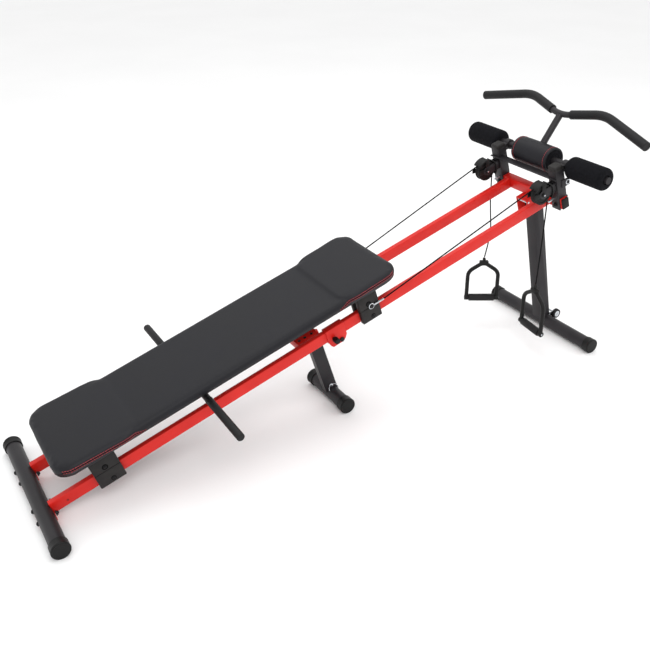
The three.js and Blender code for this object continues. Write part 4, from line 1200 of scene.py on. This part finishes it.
@dataclass
class Carriage:
    """The padded board on four roller blocks, with its grip bar and cable rings."""

    start: float = 78.0
    end: float = 1299.0
    bottom: float = 97.0
    top: float = 130.0
    half: float = 168.0
    corner: float = 54.0
    edge: float = 9.0
    swell: float = 3.0
    row_lift: float = 3.6  # each row of stitches above or below the seam
    pressure: float = 4.0
    frames: int = 15
    block_outer: float = 125.5
    block_inner: float = 83.75
    block_face: float = 135.0
    eye_place: Triple = (1173.0, 138.4, 34.5)
    bar_half: float = 200.0
    grip_start: float = 150.0
    grip_u: float = 561.0
    grip_v: float = 68.5

    def blank(self) -> bpy.types.Object:
        """The foam before its cover is drawn tight: a long block with a thicker slab at each end."""
        span = (self.start + self.swell, self.end - self.swell)
        depth = self.top - self.bottom - 1 - self.swell
        long = cushion(span, self.half - self.swell, self.corner, self.edge, depth)
        parts = [put(long, at(z=self.bottom + 1))]
        for end in SWELLS:
            rise = end.tops[1] - end.tops[0]
            length = end.span[1] - end.span[0]
            slope = Matrix.Rotation(-math.atan2(rise, length), 4, "Y")
            inner = (self.swell, length - self.swell)
            depth = end.depth - 2 * self.swell
            raised = cushion(inner, end.half - self.swell, end.corner, end.edge, depth)
            place = at(end.span[0], 0, end.tops[0]) @ slope @ at(z=self.swell - end.depth)
            parts.append(put(raised, place))
        piece = joined(parts)
        modifier(piece, "REMESH", mode="VOXEL", voxel_size=5.5 * MM)
        return piece

    def draw_tight(self, piece: bpy.types.Object) -> None:
        """Swell the foam under its cover with a short cloth simulation, its base held flat."""
        held = piece.vertex_groups.new(name="base")
        floor_line = (self.bottom + 4) * MM
        held.add([v.index for v in piece.data.vertices if v.co.z < floor_line], 1.0, "REPLACE")
        before = [v.co.copy() for v in piece.data.vertices]
        cloth = piece.modifiers.new("cover", "CLOTH")
        cloth.settings.vertex_group_mass = held.name
        cloth.settings.use_pressure = True
        cloth.settings.uniform_pressure_force = self.pressure
        cloth.settings.effector_weights.gravity = 0.0
        cloth.settings.quality = 4
        cloth.collision_settings.use_collision = False
        for step in range(1, self.frames + 1):
            bpy.context.scene.frame_set(step)
        drawn = piece.evaluated_get(bpy.context.evaluated_depsgraph_get())
        after = [v.co.copy() for v in drawn.data.vertices]
        piece.modifiers.remove(cloth)
        bpy.context.scene.frame_set(1)
        for vertex, old, new in zip(piece.data.vertices, before, after):
            shift = new - old
            vertex.co = old + shift.normalized() * min(shift.length, self.swell * MM)

    def pad(self) -> bpy.types.Object:
        """The vinyl covered pad."""
        piece = self.blank()
        self.draw_tight(piece)
        modifier(piece, "SMOOTH", factor=0.5, iterations=4)
        modifier(piece, "SUBSURF", levels=1, render_levels=1)
        return piece

    def seam_line(self, pad: bpy.types.Object, end: Swell, sign: int, lift: float):
        """Points and normals along the side seam, found on the pad itself.

        Args:
            pad: the pad, still in its own frame.
            end: the swell that the seam runs round.
            sign: which side.
            lift: how far above the seam's line, in millimetres.
        Returns:
            The points and the normals there.
        """
        points, normals = [], []
        for i in range(61):
            u = end.seam[0] + (end.seam[1] - end.seam[0]) * i / 60
            v = end.seam_height(u, self.bottom) + lift
            start = Vector((u, sign * 260, v)) * MM
            hit, point, normal, _ = pad.ray_cast(start, Vector((0, -sign, 0)))
            if hit:
                points.append(point)
                normals.append(normal)
        return points, normals

    def sew(self, pad: bpy.types.Object) -> None:
        """The double rows of red stitches on the sides, with a thin tube of painted shade along the seam
        between them.
        """
        for side, sign in SIDES.items():
            for name, end in zip(("low", "high"), SWELLS):
                for row, lift in (("upper", self.row_lift), ("lower", -self.row_lift)):
                    points, normals = self.seam_line(pad, end, sign, lift)
                    thread = put(stitches(points, normals), RAIL_FRAME)
                    finish(thread, f"stitches_{name}_{row}_{side}", THREAD, "carriage")
                points, _ = self.seam_line(pad, end, sign, 0)
                # A thin near-black tube along the seam: painted shade in the crease.
                seam = put(pipe(points, 0.9, 8), RAIL_FRAME)
                finish(seam, f"seam_{name}_{side}", CREVICE_SHADE, "carriage")

    def blocks(self) -> None:
        """The four roller blocks, each split by a seam, with its bolts and a disc of painted shade in each
        bolt recess.
        """
        recess_shades, heads = [], []
        for place, length in (("low", 84), ("high", 76)):
            for side, sign in SIDES.items():
                node = f"roller_block_{place}_{side}"
                wheel = RAIL_FRAME.inverted() @ node_middle(f"carriage_wheel_{place}_{side}") / MM
                u = wheel.x
                outer, inner = sign * self.block_outer, sign * self.block_inner
                parts = [put(slab((length, 19, 50.5), 3), on_rails(u, outer, 4.2))]
                parts += [put(slab((length, 19, 49.7), 3), on_rails(u, outer, 56.2))]
                parts += [put(slab((length, 15.5, 102), 2), on_rails(u, inner, 30))]
                parts += [put(slab((length, 44, 5.7), 1.2), on_rails(u, sign * 100, 78.1))]
                parts += [put(slab((length - 3, 16, 98), 1), on_rails(u, outer - sign * 1.2, 30))]
                finish(joined(parts), f"carriage_block_{place}_{side}", PLASTIC, "carriage", [node])
                for du, v, r in ((-2, 46, 9.5), (4, -6, 8)):
                    spot = on_rails(u + du, sign * self.block_face, v, Turn.outward(sign))
                    # Near-black discs on the block face round the bolts: painted shade in the bolt recesses.
                    recess_shades.append(put(turned([(r, -3), (r, 0.2), (r - 1, 0.5), (r - 2, 0.1)], 32), spot))
                    heads.append(on_rails(u + du, sign * (self.block_face - 0.6), v, Turn.outward(sign)))
                dress(f"carriage_wheel_{place}_{side}", SHADED_PLASTIC)
        finish(joined(recess_shades), "block_bolt_recess_shade", CREVICE_SHADE, "carriage")
        fasten("block_bolts", Fastener(4.6, False), OXIDE, "carriage", heads)

    def cable_ends(self) -> None:
        """The steel ring and ferrule that tie each cable to its block."""
        for side, sign in SIDES.items():
            u, y, v = self.eye_place
            place = on_rails(u, sign * y, v, Turn.LEFT)
            eye = put(ring(9, 2.0), place)
            ends = ((1181, 34.6), (1223, 35))
            points = [RAIL_FRAME @ (Vector((u, sign * 138.5, v)) * MM) for u, v in ends]
            ferrule = pipe(points, 3.4, 24)
            finish(joined([eye, ferrule]), f"cable_eye_{side}", ZINC, "carriage")
            boss = put(turned([(6.5, -4), (6.5, 4.5), (5.5, 5.5)], 32), place)
            finish(boss, f"cable_eye_bolt_{side}", OXIDE, "carriage")

    def grip_bar(self) -> None:
        """The cross bar under the pad with a rubber grip on each end."""
        place = on_rails(self.grip_u, 0, self.grip_v, Turn.LEFT)
        bar = put(turned([(11.2, -self.bar_half), (11.2, self.bar_half)], 40), place)
        finish(bar, "carriage_cross_bar", CHARCOAL, "carriage", ["carriage_grip_bar"])
        for side, sign in SIDES.items():
            start = on_rails(self.grip_u, sign * self.grip_start, self.grip_v, Turn.outward(sign))
            profile = [(12, 0), (12.5, 1), (12.5, 219), (12.2, 221.4), (11, 223), (9, 223.8), (7, 224)]
            finish(put(turned(profile, 48), start), f"carriage_grip_{side}", RUBBER, "carriage")

    def build(self) -> None:
        """Make the carriage."""
        pad = self.pad()
        self.sew(pad)
        pad = finish(put(pad, RAIL_FRAME), "padded_seat", VINYL, "carriage", ["seat_pad"], 180)
        finish(softened("carriage_board", 1.0), "pad_board", BOARD, "carriage", ["carriage_board"])
        self.blocks()
        self.cable_ends()
        self.grip_bar()


@dataclass
class Studio:
    """A pale floor, soft lights and the camera."""

    eye: Triple = (-262.9, -2166.35, 1712.6)
    azimuth: float = 32.115
    elevation: float = 27.835
    lens: float = 46.89
    shift: tuple[float, float] = (-0.03098, -0.0335)

    def camera(self) -> None:
        """The camera, looking down along the bench."""
        data = bpy.data.cameras.new("camera")
        data.lens = self.lens
        data.sensor_width = 36
        data.shift_x, data.shift_y = self.shift
        data.clip_end = 30
        eye = linked("camera", data)
        eye.location = FLOOR_FRAME @ (Vector(self.eye) * MM)
        eye.rotation_euler = (math.radians(90 - self.elevation), 0, math.radians(-self.azimuth))
        bpy.context.scene.camera = eye

    def lamp(self, name: str, spot: Triple, size: float, power: float) -> None:
        """A square soft light at a spot in metres, turned to the bench."""
        data = bpy.data.lights.new(name, "AREA")
        data.size = size
        data.energy = power
        made = linked(name, data)
        made.location = spot
        made.rotation_euler = (Vector((0, 0, 0.4)) - Vector(spot)).to_track_quat("-Z", "Y").to_euler()

    def floor(self) -> None:
        """A wide pale floor."""
        bpy.ops.object.select_all(action="DESELECT")
        bpy.ops.mesh.primitive_plane_add(size=40)
        plane = bpy.context.object
        plane.name = "studio_floor"
        plane.data.materials.append(FLOOR_PAINT.material())

    def build(self) -> None:
        """Set the camera, floor and lights."""
        self.camera()
        self.floor()
        world = bpy.data.worlds.new("studio")
        world.use_nodes = True
        world.node_tree.nodes["Background"].inputs["Color"].default_value = (1, 1, 1, 1)
        world.node_tree.nodes["Background"].inputs["Strength"].default_value = 1.0
        bpy.context.scene.world = world
        self.lamp("key", (-1.6, -3.2, 3.8), 2.6, 75)
        self.lamp("fill", (3.4, -2.0, 2.6), 2.2, 25)
        self.lamp("top", (0.2, 1.2, 4.2), 3.2, 50)
        bpy.context.scene.view_settings.view_transform = "Standard"


def main() -> None:
    """Build the bench, one sub-assembly after another."""
    logging.basicConfig(level=logging.INFO, format="%(message)s")
    Studio().build()
    Cables().build()
    for kind in (FloorBars, LowerFrame, MiddleLeg, HeadFrame, LegHold, LatBar, HandGrips, Carriage):
        kind().build()
        LOG.info("%s done", kind.__name__)


if __name__ == "__main__":
    main()
